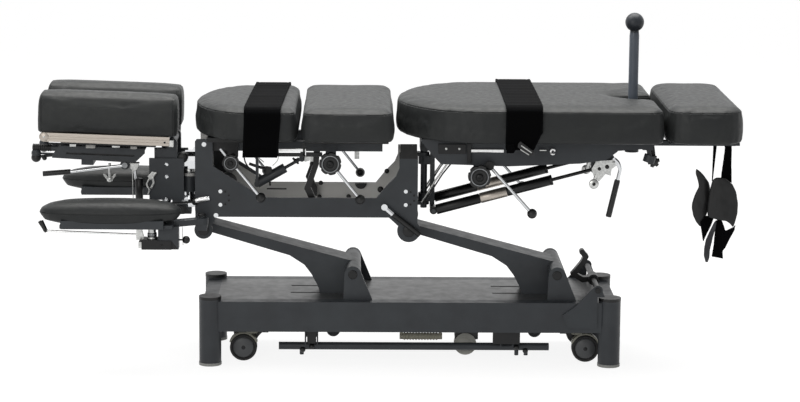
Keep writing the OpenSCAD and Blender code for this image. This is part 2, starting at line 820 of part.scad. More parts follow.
module head_columns() {
  color(chrome) both_sides() translate([column_x, column_y, column_z0])
      cylinder(h = column_z1 - column_z0, d = column_d, $fn = fn_large);
  color(steel) both_sides() for (z = [column_z0, column_z1 - clamp_h]) difference() {
    union() {
      block([column_x - clamp_r, column_y - clamp_r, z],
          [column_x + clamp_r, column_y + clamp_r, z + clamp_h]);
      block([column_x, column_y - clamp_r, z], [carrier_x0 - gap, plate_in, z + clamp_h]);
    }
    translate([column_x, column_y, z - cut]) cylinder(h = clamp_h + 2 * cut, d = column_d, $fn = fn_large);
  }
}

module head_block() {
  side_t = 10;
  guide_d = column_d + 14;
  guide_z0 = block_z0 + 2 * side_t;
  guide_z1 = column_z1 - clamp_h - head_lift_up - gap;
  color(steel) difference() {
    union() {
      both_sides() block([block_x0, -block_y, block_z0], [block_x1 - gap, -block_y + side_t, block_z1]);
      block([block_x0 + 2 * side_t, -block_y, block_z0 + 2 * side_t],
          [block_x1 - side_t, block_y, block_z1 - side_t]);
      both_sides() {
        translate([column_x, column_y, guide_z0])
            cylinder(h = guide_z1 - guide_z0, d = guide_d, $fn = fn_large);
        block([block_x1 - 2 * side_t, column_y - side_t, guide_z0],
            [column_x, column_y + side_t, guide_z1]);
        plate_xz(-block_y + side_t + gap, -block_y + 3 * side_t) difference() {
          union() {
            translate(head_hinge) circle(r = head_pin_d, $fn = fn_small);
            translate([head_hinge.x - head_pin_d * 3, block_z1 - side_t - cut])
                square([head_pin_d * 4, head_hinge.y - block_z1 - side_t / 2]);
            translate([head_hinge.x - head_pin_d, block_z1 - side_t])
                square([head_pin_d * 2, head_hinge.y - block_z1 + side_t]);
          }
          translate(head_hinge) circle(d = head_pin_d + 2 * run, $fn = fn_small);
        }
      }
    }
    both_sides() translate([column_x, column_y, block_z0])
        cylinder(h = block_z1, d = column_d + 2 * run, $fn = fn_large);
  }
}

// Everything on the tilting head frame is drawn level and then tilted about its hinge
module tilted() {
  translate([head_hinge.x, 0, head_hinge.y]) rotate([0, head_tilt, 0])
      translate([-head_hinge.x, 0, -head_hinge.y]) children();
}

channel_x0 = -935;
channel_x1 = -672;
channel_z0 = 576;
channel_z1 = 612;
channel_y = 100;
channel_t = 6;

module head_channel() {
  slot = [-895, -701];
  slot_h = 5;
  slot_z = 588;
  tongue_y = 66;
  head_barrel_d = 20;
  grip_d = 18;
  grip = [-990, 612];
  knob = [-981, 586];
  knob_d = 28;
  foot = [-852, -818];
  foot_drop = 18;
  nose = [20, 8];
  heel = [28, 22, 6];
  eye_r = 14;
  spine_x0 = channel_x0 + nose.x;
  tongue_x = [head_hinge.x - 48, head_hinge.x - 50];
  pin_over = 4;
  color(steel) tilted() difference() {
    union() {
      both_sides() plate_xz(-channel_y, -channel_y + channel_t)
        difference() {
          union() {
            polygon([
              [channel_x0, channel_z0 + nose.y], [spine_x0, channel_z1], [channel_x1, channel_z1],
              [channel_x1, channel_z0 + heel[1]], [channel_x1 - heel[0], channel_z0 - heel[2]],
              [channel_x0, channel_z0]
            ]);
            translate(head_lever_hub) circle(r = eye_r, $fn = fn_small);
          }
          translate(head_lever_hub) circle(d = head_lever_pin_d + 2 * run, $fn = fn_small);
        }
      block([spine_x0, -channel_y, channel_z1 - channel_t], [channel_x1, channel_y, channel_z1]);
      block([spine_x0, -tongue_y, channel_z1], [tongue_x[0], tongue_y, rail_head_z0 - gap]);
      block([tongue_x[1], -tongue_y, channel_z1 + channel_t],
          [head_hinge.x - head_pin_d, tongue_y, rail_head_z0 - gap]);
      pin_y(head_hinge.x, head_hinge.y, head_barrel_d, -tongue_y, tongue_y);
      block([head_hinge.x - head_pin_d - cut, -tongue_y, head_hinge.y - head_pin_d / 2],
          [head_hinge.x, tongue_y, head_hinge.y + head_pin_d / 2]);
      pin_y(head_hinge.x, head_hinge.y, head_pin_d, -block_y - pin_over, block_y + pin_over);
    }
    for (s = [-1, 1]) translate([slot[0], s * channel_y - channel_t * 2, slot_z])
        cube([slot[1] - slot[0], 4 * channel_t, slot_h]);
  }
  color(black) tilted() {
    both_sides() {
      pin_x(grip[0], spine_x0, -channel_y + grip_d / 2, grip[1] - grip_d / 2, grip_d);
      pin_x(knob[0], channel_x0 + pin_over, -channel_y + grip_d / 2, knob[1], grip_d / 3);
      translate([knob[0], -channel_y + grip_d / 2, knob[1]]) sphere(d = knob_d, $fn = fn_small);
    }
    block([foot[0], -channel_y + channel_t, channel_z0 - foot_drop],
        [foot[1], channel_y - channel_t, channel_z1 - channel_t]);
  }
}

module head_rails() {
  rail_t2 = 16;
  bar_d = 12;
  bar_x = [-900, -780, -660];
  rail_x0 = pad_x0 + 20;
  rail_x1 = pad_x1 - 18;
  color("#c8beb0") tilted() {
    both_sides() {
      block([rail_x0, -rail_head_y - rail_t2 / 2, rail_head_z0],
          [rail_x1, -rail_head_y + rail_t2 / 2, rail_head_z0 + rail_head_h]);
      pin_y(rail_x0, rail_head_z0 + rail_head_h / 2, rail_head_h, -rail_head_y - rail_t2 / 2,
          -rail_head_y + rail_t2 / 2);
    }
    for (x = bar_x)
        block([x - bar_d, -rail_head_y, rail_head_z0], [x + bar_d, rail_head_y, rail_head_z0 + bar_d]);
  }
}

head_lever_hub = [-727, 564];
head_lever_pin_d = 10;

module head_lever() {
  mid = [-881, 539];
  end = [-959, 530];
  hub_w = 14;
  rod_d = 8;
  grip_d = 13;
  y = -channel_y - gap - hub_w / 2;
  color(chrome) tilted() {
    rod([head_lever_hub.x, y, head_lever_hub.y], [mid.x, y, mid.y], rod_d);
    pin_y(head_lever_hub.x, head_lever_hub.y, 2 * rod_d, y - hub_w / 2, y + hub_w / 2);
    pin_y(head_lever_hub.x, head_lever_hub.y, head_lever_pin_d, y, -channel_y + 2 * channel_t);
  }
  color(black) tilted() rod([mid.x, y, mid.y], [end.x, y, end.y], grip_d);
}
// Cushions: rings of one plan, drawn in by an inset at each height

plan_n = 14;

// Plan with a round head end of length a and foot corners of radius r
function plan(x0, x1, hw, a, r, i) =
  let (ai = max(a - i, a / 4), ri = max(r - i, r / 5), h = hw - i, xe = x1 - i)
  concat(
    [for (k = [0:plan_n]) let (t = 90 + 180 * k / plan_n) [x0 + i + ai + ai * cos(t), h * sin(t)]],
    [for (k = [0:3]) let (t = -90 + 30 * k) [xe - ri + ri * cos(t), -h + ri + ri * sin(t)]],
    [for (k = [0:3]) let (t = 30 * k) [xe - ri + ri * cos(t), h - ri + ri * sin(t)]]
  );

// Plan with four round corners about the middle (cx, cy)
function round_plan(cx, cy, hx, hy, r, i) =
  let (ri = max(r - i, r / 5))
  [for (q = [0:3]) for (k = [0:4])
      let (t = 90 * q + 22.5 * k, sx = q == 0 || q == 3 ? 1 : -1, sy = q < 2 ? 1 : -1)
    [cx + sx * (hx - i - ri) + ri * cos(t), cy + sy * (hy - i - ri) + ri * sin(t)]];

// A closed skin over rings of points, all with the same count
module skin(rings) {
  n = len(rings[0]);
  m = len(rings);
  pts = [for (r = rings) each r];
  sides = [for (j = [0:m - 2]) for (k = [0:n - 1])
      let (a = j * n + k, b = j * n + (k + 1) % n) each [[a, a + n, b], [b, a + n, b + n]]];
  polyhedron(points = pts,
      faces = concat(sides, [[for (k = [0:n - 1]) k]], [[for (k = [n - 1:-1:0]) (m - 1) * n + k]]),
      convexity = 6);
}

function level(p, z) = [for (q = p) [q.x, q.y, z]];

// Side of a body cushion: inset and height, both as shares
side_share = [[0.075, 0], [0.02, 0.09], [0, 0.3], [0.005, 0.6], [0.025, 0.87], [0.09, 0.93], [0.25, 0.975],
    [0.6, 0.995], [0.95, 1]];
roll = 70;

module body_cushion(x0, x1, hw, a, r, h = cushion_h) {
  color(leather) skin([for (s = side_share)
      level(plan(x0, x1, hw, a, r, s[0] * roll), cushion_z + s[1] * h)]);
}

thoracic_round = 170;
leg_round = 235;
pelvic_round = 34;
foot_round = 60;

module square_cushion(x0, x1, hw, r, h = cushion_h) {
  color(leather) skin([for (s = side_share)
    level(round_plan((x0 + x1) / 2, 0, (x1 - x0) / 2, hw, r, s[0] * roll), cushion_z + s[1] * h)]);
}

module thoracic_cushion() { body_cushion(thoracic_x0, thoracic_x1, thoracic_hw, thoracic_round,
    pelvic_round); }
module pelvic_cushion() { square_cushion(pelvic_x0, pelvic_x1, pelvic_hw, pelvic_round); }
// Lip of the tiller's slot: how far it opens out and how high it lies, as shares of the roll and the cushion
slot_lip = [[0, -0.1], [0, 0.87], [0.05, 0.93], [0.2, 0.98], [0.6, 1.1]];

module leg_cushion() {
  color(leather) difference() {
    body_cushion(leg_x0, leg_x1, leg_hw, leg_round, pelvic_round, leg_cushion_h);
    skin([for (s = slot_lip)
        level([for (k = [0:plan_n]) let (t = 90 + 180 * k / plan_n, out = s[0] * roll)
            [leg_x1 + cut + (slot_len + cut + out) * cos(t), (slot_hw + out) * sin(t)]],
        cushion_z + s[1] * leg_cushion_h)]);
  }
}
module foot_cushion() { square_cushion(foot_x0, foot_x1, foot_hw, foot_round, leg_cushion_h); }

pad_side_share = [[0.08, 0], [0.02, 0.05], [0, 0.35], [0.03, 0.68], [0.1, 0.82], [0.25, 0.93], [0.5, 0.985],
    [0.8, 1]];

module head_pads() {
  pad_round = 14;
  pad_roll = 50;
  pad_end_roll = 18;
  z = rail_head_z0 + rail_head_h + gap;
  color(leather) tilted() both_sides() skin([for (s = pad_side_share)
    let (hx = (pad_x1 - pad_x0) / 2 - s[0] * pad_end_roll, hy = pad_w / 2 - s[0] * pad_roll)
      level(round_plan((pad_x0 + pad_x1) / 2, -face_gap_hw - pad_w / 2, hx, hy, pad_round, 0),
          z + s[1] * pad_h)]);
}

// Armrests

armrest_x0 = -953;
armrest_board = [-893, -580];
armrest_z0 = 440;
armrest_side_h = 24;
armrest_seat_share = 0.28;
armrest_crown = 36;
armrest_hinge = [-507, -196];
arm_pin_d = 16;
arm_bar_t = 16;
arm_bar_z = 424.5;
armrest_share = [[0.7, -0.1], [0.93, 0.08], [1, 0.4], [0.97, 0.62], [0.86, 0.8], [0.66, 0.93],
    [0.36, 0.985], [0.1, 1]];

function oval(cx, cy, a, b, s) = [for (k = [0:31]) let (t = k * 360 / 32, c = cos(t), d = sin(t))
  [cx + a * s * sign(c) * pow(abs(c), 0.8), cy + b * s * sign(d) * pow(abs(d), 0.8)]];

module armrest_pad() {
  color(leather) skin([for (s = armrest_share)
    level(oval(armrest_x0 + armrest_len / 2, -armrest_y, armrest_len / 2, armrest_w / 2, s[0]),
      armrest_z0 + s[1] * (armrest_side_h + armrest_crown))]);
}

module armrest_arm(trigger) {
  board_w = 84;
  board_t = 16;
  bar_w = 34;
  bar_t = arm_bar_t;
  bar_z = arm_bar_z;
  eye_r = 20;
  sleeve = [-640, -272];
  post_d2 = 22;
  box = [[-668, -585], [361, 386]];
  box_w2 = 50;
  lock = [-622, -565];
  lock_w = 40;
  rod_d = 5;
  tip = [-954, 436];
  bend = [-935, 407];
  trigger_drop = 8;
  trigger_end = -679;
  knob = [-545, 385];
  knob_d = 22;
  color(steel) difference() {
    union() {
      block([armrest_board[0], -armrest_y - board_w / 2, armrest_z0 - board_t],
          [armrest_board[1], -armrest_y + board_w / 2, armrest_z0 - armrest_side_h * armrest_seat_share]);
      translate([armrest_board[1] - bar_w, -armrest_y + board_w / 2 - bar_w, bar_z - bar_t / 2])
        rotate(atan2(armrest_hinge.y + armrest_y - board_w / 2 + bar_w / 2,
            armrest_hinge.x - armrest_board[1] + bar_w))
          cube([norm([armrest_hinge.x - armrest_board[1] + bar_w,
              armrest_hinge.y + armrest_y - board_w / 2 + bar_w / 2]), bar_w, bar_t]);
      translate([armrest_hinge.x, armrest_hinge.y, bar_z - bar_t / 2])
          cylinder(h = bar_t + cut, r = eye_r, $fn = fn_small);
      block([box[0][0], sleeve.y - box_w2 / 2, box[1][0]], [box[0][1], sleeve.y + box_w2 / 2, box[1][1]]);
      block([lock[0], sleeve.y - lock_w / 2, box[1][0]],
          [lock[1], sleeve.y + lock_w / 2, armrest_z0 - board_t + cut]);
    }
    translate([armrest_hinge.x, armrest_hinge.y, bar_z - bar_t])
        cylinder(h = 2 * bar_t, d = arm_pin_d + 2 * run, $fn = fn_small);
  }
  color(chrome) {
    translate([sleeve.x, sleeve.y, box[1][1] - cut])
        cylinder(h = armrest_z0 - board_t - box[1][1] + 2 * cut, d = post_d2, $fn = fn_small);
    if (trigger)
      rod([bend.x - rod_d / 3, sleeve.y, bend.y], [trigger_end, sleeve.y, bend.y - trigger_drop], rod_d);
    rod([lock[1] - rod_d, sleeve.y, knob.y], [knob.x, sleeve.y, knob.y], rod_d);
    block([trigger_end - rod_d, sleeve.y - rod_d, box[1][1] - cut],
        [trigger_end + rod_d, sleeve.y + rod_d, armrest_z0 - board_t + cut]);
  }
  color(black) {
    if (trigger) rod([tip.x, sleeve.y, tip.y], [bend.x, sleeve.y, bend.y - rod_d / 4], rod_d * 2);
    translate([knob.x, sleeve.y, knob.y]) sphere(d = knob_d, $fn = fn_small);
  }
}

module armrest_arm_front() { armrest_arm(true); }
module armrest_pad_front() { armrest_pad(); }
module armrest_arm_back() { mirror([0, 1, 0]) armrest_arm(false); }
module armrest_pad_back() { mirror([0, 1, 0]) armrest_pad(); }

// The pins that the armrests turn on stand on a lug of each side plate
module armrest_pins() {
  pin_h = 44;
  lug_z = upper_z + upper_pin_d / 2 + cut;
  color(steel) both_sides() {
    block([armrest_hinge.x - arm_pin_d, armrest_hinge.y - arm_pin_d, lug_z],
        [armrest_hinge.x + arm_pin_d, -plate_y, arm_bar_z - arm_bar_t / 2 - gap]);
    translate([armrest_hinge.x, armrest_hinge.y, lug_z]) cylinder(h = pin_h, d = arm_pin_d, $fn = fn_small);
  }
}

// Drop sections

frame_z0 = 640.3;
board_t = 12;
lever_y = 228;
lever_t = 11;
knob_y0 = 236;
knob_y1 = 260;
lever_rod_d = 9;
lever_ball_d = 28;

module section_frame(x0, x1, hw) {
  runner_w = 20;
  inset = 14;
  color(steel) {
    block([x0 + inset, -hw, cushion_z - gap - board_t], [x1 - inset, hw, cushion_z - gap]);
    both_sides() block([x0 + inset, -carrier_y - runner_w / 2, frame_z0],
        [x1 - inset, -carrier_y + runner_w / 2, cushion_z - board_t]);
  }
}

thoracic_board_inset = 30;
thoracic_board_hw = 200;
pelvic_board_hw = 215;

module thoracic_frame() {
  section_frame(thoracic_x0 + thoracic_board_inset, thoracic_x1, thoracic_board_hw);
}

module pelvic_frame() { section_frame(pelvic_x0, pelvic_x1, pelvic_board_hw); }

// A knob with finger lobes, with its face towards -Y
module lobed_knob(c, d) {
  lobes = 7;
  dip = d * 0.16;
  dip_r = d * 0.53;
  face_depth = 4;
  face = d * 0.66;
  ring_share = [0.86, 0.6];
  color(black) difference() {
    pin_y(c.x, c.y, d, -knob_y1, -knob_y0, fn_large);
    for (i = [0:lobes - 1]) rotate_about(c, 360 * i / lobes)
        pin_y(c.x + dip_r, c.y, dip, -knob_y1 - cut, -knob_y0 + cut);
    pin_y(c.x, c.y, face, -knob_y1 - cut, -knob_y1 + face_depth, fn_large);
  }
  color(chrome) difference() {
    pin_y(c.x, c.y, face * ring_share[0], -knob_y1 + cut, -knob_y1 + face_depth, fn_large);
    pin_y(c.x, c.y, face * ring_share[1], -knob_y1, -knob_y1 + face_depth + cut, fn_large);
  }
}

// A shaft across the table with a knob on each end
module knob_shaft(c, d) {
  color(chrome) pin_y(c.x, c.y, shaft_d, -knob_y0 - 1, knob_y0 + 1);
  both_sides() lobed_knob(c, d);
}

// A lever with a ball on each side of the table, on hubs that the shaft runs through
module lever_pair(c, ball, tail, bore) {
  hub_d = 26;
  color(chrome) both_sides() difference() {
    union() {
      pin_y(c.x, c.y, hub_d, -lever_y - lever_t / 2, -lever_y + lever_t / 2);
      rod([ball.x, -lever_y, ball.y], [c.x, -lever_y, c.y], lever_rod_d);
      if (tail > 0) rod([c.x, -lever_y, c.y],
          [c.x + (c.x - ball.x) * tail, -lever_y, c.y + (c.y - ball.y) * tail], lever_rod_d);
    }
    pin_y(c.x, c.y, bore, -knob_y1, -lever_t);
  }
  color(black) both_sides() translate([ball.x, -lever_y, ball.y]) sphere(d = lever_ball_d, $fn = fn_small);
}

lever_bore = shaft_d + 2 * run;

thoracic_knob_d = 46;
pelvic_knob_d = 62;
leg_knob_d = 65;
thoracic_ball = [-338, 498];
thoracic_tail_share = 0.36;
pelvic_ball = [-59, 494];
leg_ball = [425, 456];

module thoracic_knobs() { knob_shaft(thoracic_shaft, thoracic_knob_d); }
module thoracic_lever() { lever_pair(thoracic_shaft, thoracic_ball, thoracic_tail_share, lever_bore); }
module pelvic_knobs() { knob_shaft(pelvic_shaft, pelvic_knob_d); }
module pelvic_lever() { lever_pair(pelvic_shaft, pelvic_ball, 0, lever_bore); }
module leg_knobs() { knob_shaft(leg_shaft, leg_knob_d); }
module leg_lever() {
  lever_pair(leg_lever_shaft, leg_ball, 0, 0);
  color(chrome) pin_y(leg_lever_shaft.x, leg_lever_shaft.y, shaft_d, -lever_y, lever_y);
}

// Straps over the cushions

strap_t = 4;
strap_w = 100;
thoracic_strap_x = -383;
leg_strap_x = 344;

// Section of a strap that lies over a cushion of half width hw, down to height z0, at a distance e
function over(hw, e, z0, h) = concat(
  [[hw + e, z0]],
  [for (i = [2:len(side_share) - 1])
    let (s = side_share[i], before = side_share[i - 1], after = side_share[min(i + 1, len(side_share) - 1)],
         a = i < len(side_share) - 1 ? atan2((after[0] - before[0]) * roll,
             (after[1] - before[1]) * h) : 90)
      [hw - s[0] * roll + e * cos(a), cushion_z + s[1] * h + e * sin(a)]]
);

module strap(x, hw, z0, h = cushion_h) {
  outer = over(hw, gap + strap_t, z0, h);
  inner = over(hw, gap, z0, h);
  n = len(outer);
  color(webbing) translate([x, 0, 0]) rotate([90, 0, 90]) linear_extrude(height = strap_w) polygon(concat(
    outer, [for (k = [n - 1:-1:0]) [-outer[k][0], outer[k][1]]],
    [for (p = inner) [-p[0], p[1]]], [for (k = [n - 1:-1:0]) inner[k]]
  ));
}

thoracic_strap_z0 = 622;
leg_strap_z0 = 644;

module thoracic_strap() { strap(thoracic_strap_x, thoracic_hw, thoracic_strap_z0); }
module leg_strap() { strap(leg_strap_x, leg_hw, leg_strap_z0, leg_cushion_h); }

// Leg section

yaw_pin_d = 19;
yaw_lug_r = 16;
yaw_low_z = 441;
yaw_high_z = 584;
yaw_lug_t = 10;
yaw_lug_reach = 27;
yaw_collar_h = 24;
yaw_head_y = 44;
flex_pin_d = 14;
flex_x = 127;
post_x = 143;
post_right = 156;
spring_base = [151, 441];
spring_end = [612, 564];
spring_pin_d = 12;
spring_play = 2.6;
spring_rod_d = 10;
spring_tube_end = 348;
spring_angle = atan2(spring_end.y - spring_base.y, spring_end.x - spring_base.x);
spring_len = norm(spring_end - spring_base);
leg_skirt_y = 202;
leg_plate_t = 6;
leg_board_z = 655;

module yaw_lugs() {
  for (z = [yaw_low_z, yaw_high_z]) difference() {
    union() {
      block([tube_right.x - yaw_lug_r, -plate_in, z],
          [tube_right.x + yaw_lug_reach, plate_in, z + yaw_lug_t]);
      block([tube_right.x, -yaw_lug_r, z], [yaw_x, yaw_lug_r, z + yaw_lug_t]);
      translate([yaw_x, 0, z]) cylinder(h = yaw_lug_t, r = yaw_lug_r, $fn = fn_small);
    }
    translate([yaw_x, 0, z - cut])
        cylinder(h = yaw_lug_t + 2 * cut, d = yaw_pin_d + 2 * run, $fn = fn_small);
  }
}

module yaw_bracket() {
  low = yaw_low_z + yaw_lug_t + gap;
  high = yaw_high_z - gap;
  post_w = 44;
  color(chrome) translate([yaw_x, 0, yaw_low_z - yaw_lug_t])
      cylinder(h = yaw_high_z - yaw_low_z + 3 * yaw_lug_t, d = yaw_pin_d, $fn = fn_small);
  color(steel) difference() {
    union() {
      for (z = [low, high - yaw_collar_h]) {
        translate([yaw_x, 0, z]) cylinder(h = yaw_collar_h, d = 2 * yaw_lug_r, $fn = fn_small);
        block([yaw_x, -yaw_lug_r, z], [post_x + cut, yaw_lug_r, z + yaw_collar_h]);
      }
      block([post_x, -post_w / 2, yaw_low_z - yaw_lug_t], [post_right, post_w / 2, flex_z + flex_pin_d]);
      block([flex_x - flex_pin_d, -yaw_head_y, flex_z - flex_pin_d],
          [post_right, yaw_head_y, flex_z + flex_pin_d]);
    }
    pin_y(flex_x, flex_z, flex_pin_d + 2 * run, -post_y, post_y);
  }
  color(steel) both_sides()
      pin_y(spring_base.x, spring_base.y, spring_pin_d, -spring_y - spring_d / 2 - 2, -post_w / 2 + cut);
}

// Places along the gas springs, from the base pivot towards the rod's eye
module spring_frame() {
  for (s = [-1, 1]) translate([spring_base.x, s * spring_y, spring_base.y])
      rotate([0, -spring_angle, 0]) children();
}

module gas_cylinders() {
  sleeve = [128, 212];
  tube_x0 = 15.4;
  bore_x0 = spring_len * 5 / 12;
  eye_d = 22;
  eye_w = 14;
  color(black) difference() {
    spring_frame() {
      pin_x(tube_x0, spring_tube_end, 0, 0, spring_d, fn_small);
      pin_y(0, 0, eye_d, -eye_w / 2, eye_w / 2);
      pin_x(0, eye_d, 0, 0, eye_w);
    }
    spring_frame() {
      pin_y(0, 0, spring_pin_d + 2 * run, -spring_d, spring_d);
      pin_x(bore_x0, spring_tube_end + cut, 0, 0, spring_rod_d + 2 * run);
      difference() {
        pin_x(sleeve[0], sleeve[1], 0, 0, spring_d + 2 * cut);
        pin_x(sleeve[0] - cut, sleeve[1] + cut, 0, 0, spring_d - 3);
      }
    }
  }
}

module gas_rods() {
  eye_w = 14;
  eye_d = spring_pin_d + 2 * spring_play + 10;
  color(black) difference() {
    spring_frame() {
      pin_x(spring_tube_end - spring_d * 1.5, spring_len - spring_pin_d, 0, 0, spring_rod_d);
      pin_y(spring_len, 0, eye_d, -eye_w / 2, eye_w / 2);
    }
    spring_frame() pin_y(spring_len, 0, spring_pin_d + 2 * spring_play, -spring_d, spring_d);
  }
}

skirt_share_pts = [[0, 1], [0.068, 0.35], [0.1, 0.08], [0.44, 0], [0.8, 0.13], [0.93, 0.28], [0.985, 0.62],
    [1, 0.78], [1, 1]];
leg_skirt_x0 = 112;
leg_skirt_len = 560;
leg_skirt_z0 = 586;
leg_end_x = 776;
rail_x0 = 560;
foot_rail_y = 150;
foot_rail_h = 13;
foot_rail_w = 30;

module leg_frame() {
  ear_y = yaw_head_y + 2 * gap;
  ear_t = 10;
  ear_r = 14;
  tail_h = 16;
  support_t = 8;
  h = leg_board_z - leg_skirt_z0;
  socket_d = 40;
  clevis_in = 9;
  clevis_t = 5;
  clevis_h = 26;
  knob = [[754, 640], [762, 608]];
  knob_d = 34;
  support_x = [leg_skirt_x0 + leg_skirt_len - 60, leg_end_x - 40];
  support_w = 30;
  release_reach = 30;
  head_t = 3;
  knob_top = [2, 4];
  knob_foot = [-4, -16];
  color(steel) difference() {
    union() {
      block([leg_skirt_x0, -leg_skirt_y, leg_board_z], [leg_end_x, leg_skirt_y, cushion_z - gap]);
      both_sides() {
        plate_xz(-leg_skirt_y, -leg_skirt_y + leg_plate_t) translate([leg_skirt_x0, leg_skirt_z0])
            polygon(scaled(skirt_share_pts, leg_skirt_len, h));
        plate_xz(-leg_skirt_y, -leg_skirt_y + leg_plate_t)
          polygon([[leg_skirt_x0 + leg_skirt_len - tail_h, leg_board_z - 3 * tail_h / 2],
              [leg_end_x - tail_h, leg_board_z - tail_h], [leg_end_x, leg_board_z],
              [leg_skirt_x0 + leg_skirt_len - tail_h, leg_board_z]]);
        plate_xz(-ear_y - ear_t, -ear_y) {
          translate([flex_x, flex_z]) circle(r = ear_r, $fn = fn_small);
          polygon([[flex_x - ear_r, flex_z], [flex_x - ear_r, leg_board_z],
              [flex_x + 3 * ear_r, leg_board_z], [flex_x + ear_r, flex_z]]);
        }
        for (s = [-1, 1]) plate_xz(-spring_y + s * (clevis_in + clevis_t / 2) - clevis_t / 2,
            -spring_y + s * (clevis_in + clevis_t / 2) + clevis_t / 2) {
          translate(spring_end) circle(d = 2 * spring_pin_d, $fn = fn_small);
          polygon([[spring_end.x - spring_pin_d, spring_end.y], [spring_end.x - spring_pin_d, leg_board_z],
              [spring_end.x + 4 * spring_pin_d, leg_board_z],
              [spring_end.x + 4 * spring_pin_d, spring_end.y + clevis_h]]);
        }
        pin_y(spring_end.x, spring_end.y, spring_pin_d, -spring_y - clevis_in - 2 * clevis_t,
            -spring_y + clevis_in + 2 * clevis_t);
      }
      for (x = support_x)
        block([x, -leg_skirt_y + leg_plate_t, leg_board_z - foot_rail_h - 2 * gap - support_t],
            [x + support_w, leg_skirt_y - leg_plate_t, leg_board_z - foot_rail_h - 2 * gap]);
      translate([tiller_x, 0, tiller_z0 - support_t])
          cylinder(h = leg_board_z - tiller_z0 + support_t, d = socket_d, $fn = fn_small);
      for (c = [leg_shaft, leg_lever_shaft]) both_sides()
          plate_xz(-leg_skirt_y + leg_plate_t, -leg_skirt_y + 3 * leg_plate_t) difference() {
        union() {
          translate(c) circle(r = bush_r, $fn = fn_small);
          translate([c.x - bush_r, c.y]) square([2 * bush_r, leg_skirt_z0 + h / 2 - c.y]);
        }
      }
    }
    pin_y(flex_x, flex_z, flex_pin_d, -post_y, post_y);
    translate([tiller_x, 0, tiller_z0]) cylinder(h = post_d * 4, d = tiller_d + 2 * run, $fn = fn_small);
    for (c = [leg_shaft, leg_lever_shaft]) pin_y(c.x, c.y, shaft_d + 2 * run, -leg_hw, leg_hw);
    both_sides() pin_y(release_hinge.x, release_hinge.y, release_pin_d + 2 * run,
        -release_y - release_reach, -release_y + release_reach);
  }
  color(chrome) pin_y(flex_x, flex_z, flex_pin_d, -ear_y - ear_t - head_t, ear_y + ear_t + head_t);
  color(black) rod([knob[0][0], -foot_rail_y, knob[0][1]], [knob[1][0], -foot_rail_y, knob[1][1]],
      knob_d / 3);
  color(black) rod([knob[1][0] + knob_top.x, -foot_rail_y, knob[1][1] + knob_top.y],
      [knob[1][0] + knob_foot.x, -foot_rail_y, knob[1][1] + knob_foot.y], knob_d);
}

release_y = 120;
release_hinge = [664, 596];
release_pin_d = 8;

module release_handle() {
  bend = [682, 563];
  neck = [675, 536];
  end = [651, 428];
  rod_d2 = 7;
  grip_d = 15;
  pin_out = 4;
  pin_in = 40;
  color(chrome) {
    pin_y(release_hinge.x, release_hinge.y, release_pin_d, -release_y - pin_out, -release_y + pin_in);
    rod([release_hinge.x, -release_y, release_hinge.y], [bend.x, -release_y, bend.y], rod_d2);
    translate([bend.x, -release_y, bend.y]) sphere(d = rod_d2 * 1.2, $fn = fn_small);
    rod([bend.x, -release_y, bend.y], [neck.x, -release_y, neck.y], rod_d2);
  }
  color(black) rod([neck.x, -release_y, neck.y], [end.x, -release_y, end.y], grip_d);
}

tiller_d = 28;
tiller_z0 = 606;

module tiller() {
  taper_z = 935;
  neck_d = 20;
  ball_z = tiller_top_z - ball_d / 2;
  color("#6b7280") {
    translate([tiller_x, 0, tiller_z0]) cylinder(h = taper_z - tiller_z0, d = tiller_d, $fn = fn_small);
    translate([tiller_x, 0, taper_z])
        cylinder(h = ball_z - taper_z, d1 = tiller_d, d2 = neck_d, $fn = fn_small);
  }
  color("#43464c") translate([tiller_x, 0, ball_z]) sphere(d = ball_d, $fn = fn_large);
}

module foot_rails() {
  board_inset = 10;
  color(steel) {
    both_sides() block([rail_x0, -foot_rail_y - foot_rail_w / 2, leg_board_z - foot_rail_h - gap],
        [foot_x1 - board_inset, -foot_rail_y + foot_rail_w / 2, leg_board_z - gap]);
    block([foot_x0 + board_inset, -foot_hw + 4 * board_inset, leg_board_z - gap],
        [foot_x1 - board_inset, foot_hw - 4 * board_inset, cushion_z - gap]);
  }
}

// Ankle straps: two webs that hang from the foot board, with two folded cuffs and a loose tail

cuff_x = 889;
cuff_z = 568;
cuff_w = 136;
cuff_h = 272;
cuff_y = -110;
cuff_t = 14;
tail_t = 4;
web_t = 3;
web_w = 26;
web_z = 530;
back_cuff_share = [
  [0.4, -0.09], [0.54, -0.07], [0.74, -0.11], [0.88, -0.17], [0.96, -0.26], [1, -0.39], [0.96, -0.58],
  [0.86, -0.71], [0.91, -0.72], [0.81, -0.87], [0.7, -0.88], [0.71, -0.96], [0.41, -0.94], [0.38, -0.82],
      [0.49, -0.6], [0.41, -0.3]
];
front_cuff_share = [
  [0.12, 0], [0.17, 0.01], [0.29, -0.07], [0.4, -0.17], [0.51, -0.25], [0.54, -0.36], [0.49, -0.62],
  [0.45, -0.82], [0.42, -0.99], [0.33, -1], [0.28, -0.82], [0.08, -0.65], [0, -0.49], [0.06, -0.32],
      [0.18, -0.18], [0.12, -0.07]
];
tail_share = [[0.6, -0.6], [0.64, -0.62], [0.52, -0.84], [0.46, -1.01], [0.37, -1.02], [0.42, -0.82]];

